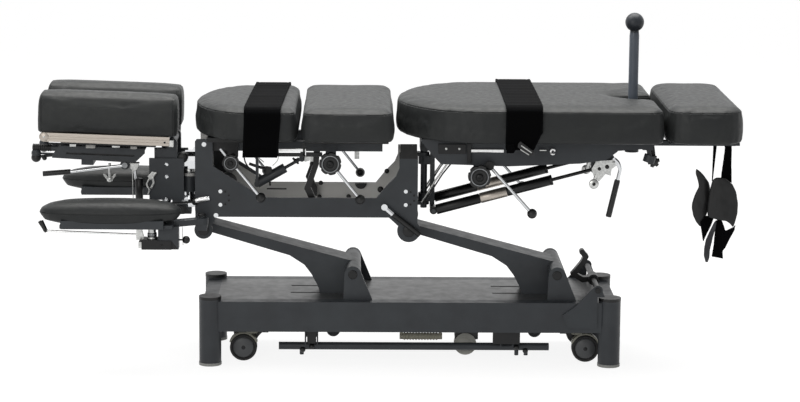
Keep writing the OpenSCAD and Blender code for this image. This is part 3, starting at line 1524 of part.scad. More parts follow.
module ankle_straps() {
  top_z = leg_board_z - gap;
  broad_web = [[988, 1], [994, 1], [991, 0], [965, 0]];
  narrow_web = [950, 944];
  color(webbing) {
    plate_xz(cuff_y, cuff_y + cuff_t) translate([cuff_x, cuff_z])
        polygon(scaled(back_cuff_share, cuff_w, cuff_h));
    plate_xz(cuff_y - cuff_t, cuff_y) translate([cuff_x, cuff_z])
        polygon(scaled(front_cuff_share, cuff_w, cuff_h));
    plate_xz(cuff_y - cuff_t - tail_t, cuff_y - cuff_t) translate([cuff_x, cuff_z])
        polygon(scaled(tail_share, cuff_w, cuff_h));
    plate_xz(cuff_y + web_t, cuff_y + 2 * web_t)
      polygon([for (p = broad_web) [p[0], web_z + p[1] * (top_z - web_z)]]);
    plate_xz(cuff_y, cuff_y + web_w) polygon([
      [narrow_web[0] - web_t / 2, top_z], [narrow_web[0] + web_t / 2, top_z],
      [narrow_web[1] + web_t / 2, web_z], [narrow_web[1] - web_t / 2, web_z]]);
  }
}

swing_hinge = [10, 459];

module swing_handle() {
  base_end = [34, 438];
  end = [112, 378];
  handle_y = 150;
  grip_d = 15;
  base_d = 18;
  color(chrome) rod([swing_hinge.x, -handle_y, swing_hinge.y], [base_end.x, -handle_y, base_end.y], base_d);
  color(chrome) pin_y(swing_hinge.x, swing_hinge.y, base_d, -handle_y - base_d / 2, -plate_y - gap);
  color(black) rod([base_end.x, -handle_y, base_end.y], [end.x, -handle_y, end.y], grip_d);
}

// Shift that brings the middle of the whole length to zero
middle_x = 14.5;

module home() {
  translate([-middle_x, 0, 0]) children();
}

home() base_rails();
home() base_deck();
home() corner_posts();
home() post_caps();
home() levelling_feet();
home() base_brackets();
home() lower_pivot_pins();
home() control_box();
home() left_arm();
home() right_arm();
home() tie_bar();
home() actuator_body();
home() actuator_rod();
home() foot_bar();
home() caster_pedal();
home() rocker_left();
home() rocker_right();
home() wheel_front_left();
home() wheel_back_left();
home() wheel_front_right();
home() wheel_back_right();
home() chassis_plate_front();
home() chassis_plate_back();
home() chassis_cross_tubes();
home() upright_bumpers();
home() chassis_fasteners();
home() head_columns();
home() section_carrier();
home() head_block();
home() head_channel();
home() head_rails();
home() head_pads();
home() head_lever();
home() armrest_arm_front();
home() armrest_pad_front();
home() armrest_arm_back();
home() armrest_pad_back();
home() thoracic_frame();
home() thoracic_cushion();
home() thoracic_strap();
home() thoracic_knobs();
home() thoracic_lever();
home() pelvic_frame();
home() pelvic_cushion();
home() pelvic_knobs();
home() pelvic_lever();
home() yaw_bracket();
home() gas_cylinders();
home() gas_rods();
home() leg_frame();
home() leg_cushion();
home() leg_strap();
home() leg_knobs();
home() leg_lever();
home() release_handle();
home() tiller();
home() foot_rails();
home() foot_cushion();
home() ankle_straps();
home() swing_handle();
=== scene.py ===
# A treatment table on a two-arm lift: finishes, cushions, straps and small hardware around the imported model.

import math

import bmesh
import bpy
from mathutils import Matrix, Vector, noise


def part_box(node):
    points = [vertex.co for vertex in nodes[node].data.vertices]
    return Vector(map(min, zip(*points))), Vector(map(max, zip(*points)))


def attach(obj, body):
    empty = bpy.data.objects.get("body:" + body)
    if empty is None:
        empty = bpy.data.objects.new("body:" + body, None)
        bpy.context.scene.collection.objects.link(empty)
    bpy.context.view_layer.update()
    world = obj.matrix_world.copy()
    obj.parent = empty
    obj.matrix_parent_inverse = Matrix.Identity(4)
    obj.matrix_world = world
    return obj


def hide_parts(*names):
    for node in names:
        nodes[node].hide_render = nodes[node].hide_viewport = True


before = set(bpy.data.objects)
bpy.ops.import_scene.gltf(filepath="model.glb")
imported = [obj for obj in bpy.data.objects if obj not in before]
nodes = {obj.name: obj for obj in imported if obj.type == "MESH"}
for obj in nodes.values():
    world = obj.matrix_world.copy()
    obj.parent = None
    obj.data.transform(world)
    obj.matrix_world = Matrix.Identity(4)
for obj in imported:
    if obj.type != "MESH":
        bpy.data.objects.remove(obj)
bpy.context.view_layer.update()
scene = bpy.context.scene

MM = 0.001
# Edges sharper than this, in degrees, are broken: on pieces made here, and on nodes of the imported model
SOFT_EDGE_ANGLE, NODE_EDGE_ANGLE = 30, 35
# Places below are read from the middle of the side view, which lies this far along +X from the frame's middle
VIEW_MIDDLE = 14.5


def at(x, y, z):
    """A place in millimetres of the side view, as a point of the frame in metres."""
    return Vector(((x - VIEW_MIDDLE) * MM, y * MM, z * MM))


def linear(code, alpha=1.0):
    """An sRGB hex value as a linear colour."""
    parts = [int(code[i:i + 2], 16) / 255 for i in (1, 3, 5)]
    return tuple(c / 12.92 if c <= 0.04045 else ((c + 0.055) / 1.055) ** 2.4 for c in parts) + (alpha,)


# Camera: the photograph's own place, its direction in radians and its field of view
CAMERA_AT = at(-63.4, -7277.7, 1765.3)
PITCH_DOWN = 0.1789
YAW_RIGHT = 0.0165
ROLL = 0.0080
FOCAL_PX = 2549.6
PHOTO_W = 800
SENSOR_MM = 36
FAR_METRES = 60


def make_camera():
    forward = Vector((
        math.sin(YAW_RIGHT) * math.cos(PITCH_DOWN),
        math.cos(YAW_RIGHT) * math.cos(PITCH_DOWN),
        -math.sin(PITCH_DOWN),
    ))
    level_right = Vector((math.cos(YAW_RIGHT), -math.sin(YAW_RIGHT), 0))
    level_up = level_right.cross(forward)
    right = level_right * math.cos(ROLL) + level_up * math.sin(ROLL)
    up = level_up * math.cos(ROLL) - level_right * math.sin(ROLL)
    data = bpy.data.cameras.new("camera")
    data.sensor_width = SENSOR_MM
    data.lens = FOCAL_PX / PHOTO_W * SENSOR_MM
    data.clip_end = FAR_METRES
    camera = bpy.data.objects.new("camera", data)
    turn = Matrix((right, up, -forward)).transposed().to_4x4()
    camera.matrix_world = Matrix.Translation(CAMERA_AT) @ turn
    scene.collection.objects.link(camera)
    scene.camera = camera


# Node trees

def add(tree, kind, settings=None, links=None):
    """Adds a node, sets its properties or sockets, and links the sockets that take another node's output."""
    made = tree.nodes.new(kind)
    for key, value in (settings or {}).items():
        if hasattr(made, str(key)) and not isinstance(key, int):
            setattr(made, key, value)
        else:
            made.inputs[key].default_value = value
    for key, source in (links or {}).items():
        tree.links.new(source, made.inputs[key])
    return made


def finish(name, color, roughness, metallic=0.0, **more):
    """A material with a shader whose plain values are set; returns the material, its tree and its shader."""
    material = bpy.data.materials.new(name)
    material.use_nodes = True
    tree = material.node_tree
    shader = tree.nodes["Principled BSDF"]
    shader.inputs["Base Color"].default_value = linear(color)
    shader.inputs["Roughness"].default_value = roughness
    shader.inputs["Metallic"].default_value = metallic
    for key, value in more.items():
        shader.inputs[key.replace("_", " ").title().replace("Ior", "IOR")].default_value = value
    material.diffuse_color = linear(color)
    return material, tree, shader


def grain(tree, size_mm, stretch=(1, 1, 1), detail=2.0, kind="ShaderNodeTexNoise"):
    """A noise whose cells measure about size_mm on the object."""
    place = add(tree, "ShaderNodeTexCoord")
    scaled = add(tree, "ShaderNodeMapping", {"Scale": Vector(stretch)}, {"Vector": place.outputs["Object"]})
    settings = {"Scale": 1 / (size_mm * MM)}
    if kind == "ShaderNodeTexNoise":
        settings["Detail"] = detail
    return add(tree, kind, settings, {"Vector": scaled.outputs["Vector"]})


def ramp(tree, source, low, high, first, last):
    """Maps a value from low..high to first..last."""
    return add(
        tree, "ShaderNodeMapRange",
        {"From Min": low, "From Max": high, "To Min": first, "To Max": last},
        {"Value": source},
    ).outputs["Result"]


def relief(tree, shader, height, depth_mm, strength=1.0):
    """Raises the surface by up to depth_mm from a height of 0..1."""
    bump = add(tree, "ShaderNodeBump", {"Strength": strength, "Distance": depth_mm * MM}, {"Height": height})
    tree.links.new(bump.outputs["Normal"], shader.inputs["Normal"])


def two_tone(tree, shader, source, dark, light, low=0.35, high=0.65):
    """Varies the colour between two close tones."""
    mixed = add(
        tree, "ShaderNodeMix",
        {"data_type": "RGBA"},
        {"Factor": ramp(tree, source, low, high, 0, 1)},
    )
    for socket, code in ((6, dark), (7, light)):
        mixed.inputs[socket].default_value = linear(code)
    tree.links.new(mixed.outputs[2], shader.inputs["Base Color"])


# Finishes

def powder_coat(name, dark, light, roughness=0.42, ior=1.4):
    """Polyester powder coat on steel: a satin skin with a fine orange peel and a faint cloudiness."""
    material, tree, shader = finish(name, light, roughness, IOR=ior)
    cloud = grain(tree, 90)
    two_tone(tree, shader, cloud.outputs["Fac"], dark, light)
    peel = grain(tree, 2.2, detail=1.0)
    relief(tree, shader, peel.outputs["Fac"], 0.12, 0.35)
    tree.links.new(
        ramp(tree, grain(tree, 25).outputs["Fac"], 0.3, 0.7, roughness - 0.05, roughness + 0.06),
        shader.inputs["Roughness"],
    )
    return material


def leatherette():
    """PVC leatherette: a soft gloss over a pebbled grain, drawn coarser than its 0.6 mm so that it shows."""
    material, tree, shader = finish("charcoal_leatherette", "#2a2c2c", 0.5, IOR=1.37)
    pebble = grain(tree, 1.6, kind="ShaderNodeTexVoronoi")
    crease = grain(tree, 14, detail=4.0)
    two_tone(tree, shader, grain(tree, 60, detail=3.0).outputs["Fac"], "#282a2b", "#2d2f2f")
    both = add(
        tree, "ShaderNodeMath", {"operation": "MULTIPLY_ADD", 1: 0.35},
        {0: crease.outputs["Fac"], 2: pebble.outputs["Distance"]},
    )
    relief(tree, shader, both.outputs["Value"], 0.25, 0.4)
    tree.links.new(ramp(tree, crease.outputs["Fac"], 0.3, 0.7, 0.42, 0.56), shader.inputs["Roughness"])
    return material


def webbing_cloth(name="black_webbing", dark="#060607", light="#111214", roughness=0.9, ior=1.14):
    """Woven polyester webbing: ribs across the strap every 2 mm, with a dull sheen."""
    material, tree, shader = finish(name, dark, roughness, IOR=ior)
    place = add(tree, "ShaderNodeTexCoord").outputs["Object"]
    ribs = [
        add(
            tree, "ShaderNodeTexWave",
            {
                "wave_type": "BANDS", "bands_direction": direction,
                "Scale": 0.5 / (pitch_mm * MM) / math.pi, "Distortion": 0.6,
            },
            {"Vector": place},
        ).outputs["Fac"]
        for direction, pitch_mm in (("X", 2), ("Y", 2.4))
    ]
    woven = add(tree, "ShaderNodeMath", {"operation": "MULTIPLY"}, {0: ribs[0], 1: ribs[1]})
    two_tone(tree, shader, woven.outputs["Value"], dark, light, 0.1, 0.8)
    relief(tree, shader, woven.outputs["Value"], 0.4, 0.5)
    return material


def moulded(name, code, roughness=0.45, size_mm=1.5):
    """Injection-moulded plastic with a spark-eroded texture."""
    material, tree, shader = finish(name, code, roughness, IOR=1.46)
    relief(tree, shader, grain(tree, size_mm).outputs["Fac"], 0.08, 0.4)
    tree.links.new(
        ramp(tree, grain(tree, 20).outputs["Fac"], 0.3, 0.7, roughness - 0.06, roughness + 0.06),
        shader.inputs["Roughness"],
    )
    return material


def vulcanised(name, code):
    """Vulcanised rubber: matt, with a faint bloom."""
    material, tree, shader = finish(name, code, 0.78)
    two_tone(tree, shader, grain(tree, 18, detail=3.0).outputs["Fac"], code, "#2c2c2c")
    relief(tree, shader, grain(tree, 1.2).outputs["Fac"], 0.1, 0.4)
    return material


def plated():
    """Bright chrome plate: a mirror with faint waviness from the tube below."""
    material, tree, shader = finish("chrome_plate", "#d2d4d6", 0.1, 1.0)
    tree.links.new(
        ramp(tree, grain(tree, 12).outputs["Fac"], 0.3, 0.7, 0.07, 0.16), shader.inputs["Roughness"],
    )
    relief(tree, shader, grain(tree, 9, detail=0.0).outputs["Fac"], 0.05, 0.15)
    return material


def zinc_plated(name, dark, light):
    """Zinc plate on small hardware: greyer and duller than chrome."""
    material, tree, shader = finish(name, light, 0.34, 1.0)
    two_tone(tree, shader, grain(tree, 6, detail=3.0).outputs["Fac"], dark, light)
    return material


def brushed_aluminium():
    """Extruded aluminium, brushed along its length and anodised warm silver."""
    material, tree, shader = finish("anodised_aluminium", "#b6aea5", 0.38, 0.85)
    lines = grain(tree, 1.2, (0.02, 1, 1), detail=3.0)
    two_tone(tree, shader, lines.outputs["Fac"], "#b1a9a0", "#bab2a9")
    relief(tree, shader, lines.outputs["Fac"], 0.05, 0.4)
    return material


steel_coat = powder_coat("anthracite_powder_coat", "#3b3e42", "#42464a")
deck_coat = powder_coat("deck_powder_coat", "#48494a", "#515253", 0.36, 1.5)
# A pale grey coat for the slide clips and column sleeves; on the back plate it is painted light, standing for
# its lit inner face
pale_coat_and_painted_light = powder_coat("pale_grey_coat_and_painted_light", "#eae9e6", "#f1f0ed", 0.5)
# Black enamel of many small parts; also painted shade on sheets and faces where the chassis lies in shade
black_coat_and_painted_shade = powder_coat("black_enamel_and_painted_shade", "#0c0d0e", "#121315", 0.38)
tiller_coat = powder_coat("slate_lacquer", "#5d646f", "#676e79", 0.34)
grip_coat = powder_coat("dark_slate_lacquer", "#2b2f35", "#33373d", 0.4)
skin = leatherette()
webbing = webbing_cloth()
neoprene = webbing_cloth("black_neoprene", "#08090a", "#121315", 0.46, 1.42)
bound_webbing = webbing_cloth("grey_binding", "#55565a", "#6b6c70")
black_plastic = moulded("black_nylon", "#0f1011")
foot_plastic = moulded("pale_polyethylene", "#b6b7b4", 0.5)
housing_plastic = moulded("warm_grey_abs", "#a9a89c", 0.5)
conduit_plastic = moulded("ivory_pvc", "#c0bdad", 0.55)
hub_plastic = moulded("dark_grey_nylon", "#5d5f61", 0.45)
motor_paint = powder_coat("warm_grey_enamel", "#c6c6be", "#d0d0c9", 0.5)
rubber = vulcanised("black_rubber", "#232323")
tyre_rubber = vulcanised("tyre_rubber", "#1b1b1c")
chrome = plated()
zinc = zinc_plated("zinc_plate", "#b0b1b0", "#cccdcb")
dull_zinc = zinc_plated("dull_zinc_plate", "#77797b", "#8b8d8f")
satin_steel = zinc_plated("satin_steel", "#dcdddd", "#ededed")
aluminium = brushed_aluminium()

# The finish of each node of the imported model
FINISHES = (
    (steel_coat, (
        "base_rails", "corner_posts", "base_brackets", "left_arm", "right_arm", "tie_bar", "foot_bar",
        "chassis_plate_front", "chassis_plate_back", "chassis_cross_tubes", "section_carrier", "head_block",
        "head_channel", "armrest_arm_front", "armrest_arm_back", "yaw_bracket", "leg_frame", "foot_rails",
    )),
    (deck_coat, ("base_deck",)),
    (black_plastic, (
        "post_caps", "control_box", "thoracic_knobs", "pelvic_knobs", "leg_knobs", "swing_handle",
    )),
    (foot_plastic, ("levelling_feet",)),
    (black_coat_and_painted_shade, (
        "lower_pivot_pins", "actuator_body", "caster_pedal", "rocker_left", "rocker_right",
        "thoracic_frame", "pelvic_frame", "gas_cylinders", "gas_rods",
    )),
    (chrome, (
        "actuator_rod", "chassis_fasteners", "head_columns", "head_lever", "thoracic_lever", "pelvic_lever",
        "leg_lever", "release_handle",
    )),
    (tyre_rubber, ("wheel_front_left", "wheel_back_left", "wheel_front_right", "wheel_back_right")),
    (rubber, ("upright_bumpers",)),
    (aluminium, ("head_rails",)),
    (skin, (
        "head_pads", "armrest_pad_front", "armrest_pad_back", "thoracic_cushion", "pelvic_cushion",
        "leg_cushion", "foot_cushion",
    )),
    (webbing, ("thoracic_strap", "leg_strap", "ankle_straps")),
    (tiller_coat, ("tiller",)),
)


def covered(made, material):
    """One smooth finish over a whole piece."""
    made.data.materials.clear()
    made.data.materials.append(material)
    for face in made.data.polygons:
        face.material_index = 0
        face.use_smooth = True


def finish_nodes():
    """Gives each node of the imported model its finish."""
    for material, names in FINISHES:
        for name in names:
            covered(nodes[name], material)


def repaint(name, material, wanted):
    """Another finish for the faces of a node that wanted(centre, normal) picks, in side-view millimetres."""
    data = nodes[name].data
    data.materials.append(material)
    index = len(data.materials) - 1
    for face in data.polygons:
        c = face.center / MM
        if wanted(Vector((c.x + VIEW_MIDDLE, c.y, c.z)), face.normal):
            face.material_index = index


def soften(made, width_mm):
    """Breaks the sharp edges of a piece, as bending, cutting and coating do."""
    bevel = made.modifiers.new("edge_radius", "BEVEL")
    bevel.width = width_mm * MM
    bevel.segments = 2
    bevel.limit_method = "ANGLE"
    bevel.angle_limit = math.radians(SOFT_EDGE_ANGLE)
    return bevel


def round_edges(name, width_mm=0.8):
    """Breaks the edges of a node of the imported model, but for those between the facets of its rounds."""
    bevel = soften(nodes[name], width_mm)
    bevel.angle_limit = math.radians(NODE_EDGE_ANGLE)
    bevel.harden_normals = True


# Light and stage

# Strengths of the white room: on matt surfaces, and in a mirror that faces the camera's side
ROOM_LIGHT = 0.32
ROOM_BEHIND_CAMERA = 0.55
# The floor: how much light it throws back, how bright the camera sees it, and half its width in metres
FLOOR_TONE = 0.2
FLOOR_GLOW = 0.88
FLOOR_HALF = 14
LAMP_COLOR = (1.0, 0.985, 0.955)
# Each softbox: place and target in metres, width and height in metres, power in watts
SOFTBOXES = {
    "top_box": ((0.0, 0.5, 3.4), (0, 0, 0.6), (4.2, 2.6), 165),
    "front_box": ((-1.6, -4.0, 1.6), (0, 0, 0.5), (2.4, 1.6), 34),
}


def make_stage():
    """A white room and a floor that shows the shadow under the table."""
    world = bpy.data.worlds.new("studio")
    world.use_nodes = True
    tree = world.node_tree
    tree.nodes.clear()
    path = add(tree, "ShaderNodeLightPath")
    place = add(tree, "ShaderNodeTexCoord")
    turned_to = add(tree, "ShaderNodeSeparateXYZ", None, {"Vector": place.outputs["Generated"]})
    mirrored = ramp(tree, turned_to.outputs["Y"], -0.6, 0.4, ROOM_BEHIND_CAMERA, 1.0)
    bright = add(
        tree, "ShaderNodeMath", {"operation": "MAXIMUM"},
        {0: path.outputs["Is Glossy Ray"], 1: path.outputs["Is Transmission Ray"]},
    )
    bright = add(tree, "ShaderNodeMath", {"operation": "MULTIPLY"}, {0: bright.outputs["Value"], 1: mirrored})
    bright = add(
        tree, "ShaderNodeMath", {"operation": "MAXIMUM"},
        {0: bright.outputs["Value"], 1: path.outputs["Is Camera Ray"]},
    )
    bright = add(
        tree, "ShaderNodeMath", {"operation": "MAXIMUM", 1: ROOM_LIGHT}, {0: bright.outputs["Value"]},
    )
    strength = bright.outputs["Value"]
    sky = add(tree, "ShaderNodeBackground", {"Color": (1, 1, 1, 1)}, {"Strength": strength})
    add(tree, "ShaderNodeOutputWorld", None, {"Surface": sky.outputs["Background"]})
    scene.world = world

    floor_mesh = bpy.data.meshes.new("floor")
    corners = [(x * FLOOR_HALF, y * FLOOR_HALF, 0) for x, y in ((-1, -1), (1, -1), (1, 1), (-1, 1))]
    floor_mesh.from_pydata(corners, [], [(0, 1, 2, 3)])
    floor = bpy.data.objects.new("floor", floor_mesh)
    scene.collection.objects.link(floor)
    material, tree, shader = finish("studio_floor", "#ffffff", 0.9)
    shader.inputs["Base Color"].default_value = (FLOOR_TONE, FLOOR_TONE, FLOOR_TONE, 1)
    shader.inputs["Emission Color"].default_value = (1, 1, 1, 1)
    path = add(tree, "ShaderNodeLightPath")
    seen = add(
        tree, "ShaderNodeMath", {"operation": "MAXIMUM"},
        {0: path.outputs["Is Camera Ray"], 1: path.outputs["Is Glossy Ray"]},
    )
    tree.links.new(
        ramp(tree, seen.outputs["Value"], 0, 1, 0.0, FLOOR_GLOW), shader.inputs["Emission Strength"],
    )
    floor_mesh.materials.append(material)


def make_lights():
    for name, (place, target, size, power) in SOFTBOXES.items():
        data = bpy.data.lights.new(name, "AREA")
        data.shape = "RECTANGLE"
        data.size, data.size_y = size
        data.energy = power
        data.color = LAMP_COLOR
        lamp = bpy.data.objects.new(name, data)
        lamp.location = place
        lamp.rotation_euler = (Vector(target) - Vector(place)).to_track_quat("-Z", "Y").to_euler()
        scene.collection.objects.link(lamp)


# Making meshes

def piece(name, mesh, material, body, smooth=True):
    """Puts a finished mesh into the scene, on a body, with its finish."""
    made = bpy.data.objects.new(name, mesh)
    scene.collection.objects.link(made)
    mesh.materials.append(material)
    for face in mesh.polygons:
        face.use_smooth = smooth
    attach(made, body)
    return made


def mesh_of(name, points, faces):
    mesh = bpy.data.meshes.new(name)
    mesh.from_pydata([tuple(p) for p in points], [], faces)
    work = bmesh.new()
    work.from_mesh(mesh)
    bmesh.ops.recalc_face_normals(work, faces=work.faces)
    work.to_mesh(mesh)
    work.free()
    return mesh


def lofted(name, rings, closed=False):
    """A skin over rings of points in metres: capped, or with its last ring joined to its first."""
    count = len(rings[0])
    points = [p for ring in rings for p in ring]
    faces = []
    spans = len(rings) if closed else len(rings) - 1
    for j in range(spans):
        a, b = j * count, (j + 1) % len(rings) * count
        faces += [(a + k, a + (k + 1) % count, b + (k + 1) % count, b + k) for k in range(count)]
    if not closed:
        faces += [tuple(range(count)), tuple(range(len(points) - count, len(points)))[::-1]]
    return mesh_of(name, points, faces)


def turned(name, place, axis, profile, segments=32):
    """A turned mesh: profile is (radius, distance along the axis) in millimetres, from place along axis."""
    direction = Vector(axis).normalized()
    side = direction.orthogonal().normalized()
    other = direction.cross(side)
    rings = []
    for radius, along in profile:
        middle = place + direction * (along * MM)
        rings.append([
            middle + (side * math.cos(t) + other * math.sin(t)) * (max(radius, 0.01) * MM)
            for t in (2 * math.pi * k / segments for k in range(segments))
        ])
    return lofted(name, rings)


def sharpened(made, angle=32):
    """Keeps the edges of a smooth mesh crisp past an angle."""
    made.data.set_sharp_from_angle(angle=math.radians(angle))
    return made


def swept(name, route, radius_mm, segments=14):
    """A round rod along a route of points in metres, with round bends where the points are close."""
    rings = []
    up = Vector((0, 0, 1))
    for k, place in enumerate(route):
        before, after = route[max(k - 1, 0)], route[min(k + 1, len(route) - 1)]
        along = (after - before).normalized()
        side = along.cross(up)
        side = (side if side.length > 1e-4 else along.orthogonal()).normalized()
        up = side.cross(along).normalized()
        radius = radius_mm[k] if isinstance(radius_mm, (list, tuple)) else radius_mm
        rings.append([
            place + (side * math.cos(t) + up * math.sin(t)) * (radius * MM)
            for t in (2 * math.pi * j / segments for j in range(segments))
        ])
    return lofted(name, rings)


def bent_rod(name, y, places, radius_mm, material, body):
    """A round bar bent in the plane at y through (x, z) places of the side view."""
    rod(name, curve_through([at(x, y, z) for x, z in places], 6), radius_mm, material, body)


def curve_through(points, steps=8):
    """A smooth route through points, by Catmull-Rom."""
    route = []
    for k in range(len(points) - 1):
        p0, p1 = points[max(k - 1, 0)], points[k]
        p2, p3 = points[k + 1], points[min(k + 2, len(points) - 1)]
        for j in range(steps):
            t = j / steps
            route.append(0.5 * (
                2 * p1 + (p2 - p0) * t + (2 * p0 - 5 * p1 + 4 * p2 - p3) * t * t
                + (3 * p1 - p0 - 3 * p2 + p3) * t * t * t
            ))
    route.append(points[-1])
    return route


def cap_screw(name, place, axis, head_mm, body, material=chrome):
    """A round-headed socket screw: a domed head with its hexagon recess."""
    r = head_mm / 2
    profile = [
        (r * 0.99, 0), (r, 0.06 * r), (r, 0.45 * r), (r * 0.86, 0.7 * r), (r * 0.55, 0.82 * r),
        (r * 0.5, 0.8 * r), (r * 0.46, 0.35 * r), (0.02, 0.33 * r),
    ]
    return sharpened(piece(name, turned(name, place, axis, profile, 24), material, body))


# Cushions

SIM_FRAMES = 20
CUSHION_PRESSURE = 3.0
# How high the part of a cushion reaches that its board holds still
BOARD_MM = 6
# How far below the top the lift of the crown begins
CROWN_FADE_MM = 16
# A seam's groove, from its middle to the edge of its mouth and of its lips
SEAM_HALF_MM = 1.5
SEAM_LIP_MM = 3.4
# Where the seam below the top panel lies, as a share of a cushion's height
SEAM_SHARE = 0.87
# How far the face pads' end seams lie from their ends
END_SEAM_MM = 12


def remeshed(name, node, voxel_mm):
    """A copy of a node's solid as an even net of quads."""
    source = nodes[node]
    mesh = source.data.copy()
    made = bpy.data.objects.new(name, mesh)
    scene.collection.objects.link(made)
    made.data.materials.clear()
    net = made.modifiers.new("net", "REMESH")
    net.mode = "VOXEL"
    net.voxel_size = voxel_mm * MM
    net.use_smooth_shade = True
    applied(made)
    return made


def applied(made):
    """Turns an object's modifiers into its mesh."""
    bpy.context.view_layer.update()
    shaped = bpy.data.meshes.new_from_object(made.evaluated_get(bpy.context.evaluated_depsgraph_get()))
    old = made.data
    made.modifiers.clear()
    made.data = shaped
    bpy.data.meshes.remove(old)


def inflated(made, base_z, pressure, cap_mm):
    """Blows a cushion up as cloth on its board, and keeps each point within cap_mm of where it was."""
    start = [v.co.copy() for v in made.data.vertices]
    held = made.vertex_groups.new(name="board")
    held.add([v.index for v in made.data.vertices if v.co.z < base_z + BOARD_MM * MM], 1.0, "REPLACE")
    cloth = made.modifiers.new("cloth", "CLOTH")
    cloth.settings.quality = 4
    cloth.settings.mass = 0.4
    cloth.settings.tension_stiffness = 30
    cloth.settings.compression_stiffness = 30
    cloth.settings.bending_stiffness = 4
    cloth.settings.use_pressure = True
    cloth.settings.uniform_pressure_force = pressure
    cloth.settings.effector_weights.gravity = 0
    cloth.settings.vertex_group_mass = "board"
    cloth.collision_settings.use_collision = False
    cloth.collision_settings.use_self_collision = False
    for number in range(1, SIM_FRAMES + 1):
        scene.frame_set(number)
    applied(made)
    scene.frame_set(1)
    for v, origin in zip(made.data.vertices, start):
        move = v.co - origin
        if move.length > cap_mm * MM:
            v.co = origin + move * (cap_mm * MM / move.length)


def seamed(made, seams, depth_mm=2.6):
    """Sews seams into a cover: each is a plane (place, normal) with a groove between two raised lips."""
    work = bmesh.new()
    work.from_mesh(made.data)
    for place, normal in seams:
        for off in (-SEAM_LIP_MM, -SEAM_HALF_MM, 0, SEAM_HALF_MM, SEAM_LIP_MM):
            bmesh.ops.bisect_plane(
                work, geom=work.verts[:] + work.edges[:] + work.faces[:], dist=1e-6,
                plane_co=place + normal * (off * MM), plane_no=normal,
            )
    work.normal_update()
    moves = []
    for v in work.verts:
        for place, normal in seams:
            off = abs((v.co - place).dot(normal)) / MM
            out = v.normal - normal * v.normal.dot(normal)
            pull = -depth_mm if off < 0.1 else (0.35 if off < SEAM_LIP_MM + 0.1 else 0)
            pucker = noise.noise(v.co * 45) * 0.7 * math.exp(-(off / 12) ** 2)
            moves.append((v, out * ((pull + pucker) * MM)))
    for v, move in moves:
        v.co += move
    work.to_mesh(made.data)
    work.free()


def subdivided(made):
    finer = made.modifiers.new("finer", "SUBSURF")
    finer.levels = finer.render_levels = 1
    applied(made)


def crowned(made, top_z, middle, half, rise_mm):
    """Lifts the top panel towards its middle."""
    for v in made.data.vertices:
        share = max(0.0, (v.co.z - top_z) / (CROWN_FADE_MM * MM) + 1)
        if share > 0:
            along = max(0.0, 1 - ((v.co.x - middle.x) / half.x) ** 2)
            across = max(0.0, 1 - ((v.co.y - middle.y) / half.y) ** 2)
            v.co.z += min(share, 1.0) * along * across * rise_mm * MM


def cushion(node, body, voxel_mm, seams, ends=(), cap_mm=3.0, rise_mm=3.0):
    """A foam cushion in leatherette, made from its solid: netted, blown up, crowned and seamed."""
    low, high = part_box(node)
    made = remeshed(node + "_cover", node, voxel_mm)
    inflated(made, low.z, CUSHION_PRESSURE, cap_mm)
    crowned(made, high.z, (low + high) / 2, (high - low) / 2, rise_mm)
    subdivided(made)
    level = [(Vector((0, 0, low.z + share * (high.z - low.z))), Vector((0, 0, 1))) for share in seams]
    upright = [(Vector((x * MM, 0, 0)), Vector((1, 0, 0))) for x in ends]
    seamed(made, level + upright)
    covered(made, skin)
    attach(made, body)
    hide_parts(node)
    return made


def make_cushions():
    for node, body, voxel_mm in (
        ("thoracic_cushion", "thoracic", 6), ("pelvic_cushion", "pelvic", 6), ("leg_cushion", "leg", 7),
        ("foot_cushion", "foot", 6),
    ):
        cushion(node, body, voxel_mm, [SEAM_SHARE])
    low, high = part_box("head_pads")
    cushion(
        "head_pads", "head_slide", 6, [], [low.x / MM + END_SEAM_MM, high.x / MM - END_SEAM_MM], rise_mm=0,
    )
    for side in ("front", "back"):
        cushion("armrest_pad_" + side, "armrest_" + side, 5, [0.5], rise_mm=0)


# Small solids

# Tilt of the head frame in degrees, and its hinge in the side view
HEAD_TILT = 1.9
HEAD_HINGE = (-596, 630)


def tilted(x, y, z):
    """A place on the head frame, drawn level, after the tilt about its hinge."""
    hinge = Vector(HEAD_HINGE)
    t = math.radians(HEAD_TILT)
    dx, dz = x - hinge.x, z - hinge.y
    return at(hinge.x + dx * math.cos(t) + dz * math.sin(t), y, hinge.y - dx * math.sin(t) + dz * math.cos(t))


def rod(name, route, radius_mm, material, body):
    """A round bar along a route of points in metres; radius_mm is one radius, or one for each point."""
    return sharpened(piece(name, swept(name, route, radius_mm), material, body))


def drum(name, place, axis, radius_mm, length_mm, material, body, edge_mm=0.6, segments=32):
    """A round bar with broken edges, from place along axis."""
    r, e = radius_mm, edge_mm
    profile = [(r - e, 0), (r, e), (r, length_mm - e), (r - e, length_mm)]
    return sharpened(piece(name, turned(name, place, axis, profile, segments), material, body), 50)


def ball(name, place, radius_mm, material, body):
    """A ball about place."""
    profile = [
        (radius_mm * math.sin(t), -radius_mm * math.cos(t))
        for t in (math.pi * k / 14 for k in range(15))
    ]
    return piece(name, turned(name, place, (0, 1, 0), profile, 28), material, body)


def plate_mesh(name, outline, y0, y1, place=at):
    n = len(outline)
    points = [place(x, y, z) for y in (y0, y1) for x, z in outline]
    faces = [tuple(range(n)), tuple(range(n, 2 * n))[::-1]]
    faces += [(k, (k + 1) % n, n + (k + 1) % n, n + k) for k in range(n)]
    return mesh_of(name, points, faces)


def prism(name, outline, y0, y1, material, body, edge_mm=0.6, place=at):
    """A plate whose side-view outline is in millimetres, from y0 to y1, with broken edges."""
    made = piece(name, plate_mesh(name, outline, y0, y1, place), material, body, smooth=False)
    if edge_mm:
        soften(made, edge_mm)
    return made


def rectangle(x0, x1, z0, z1):
    return [(x0, z0), (x1, z0), (x1, z1), (x0, z1)]


# Straps

STRAP_W, STRAP_THICK = 102, 3.6
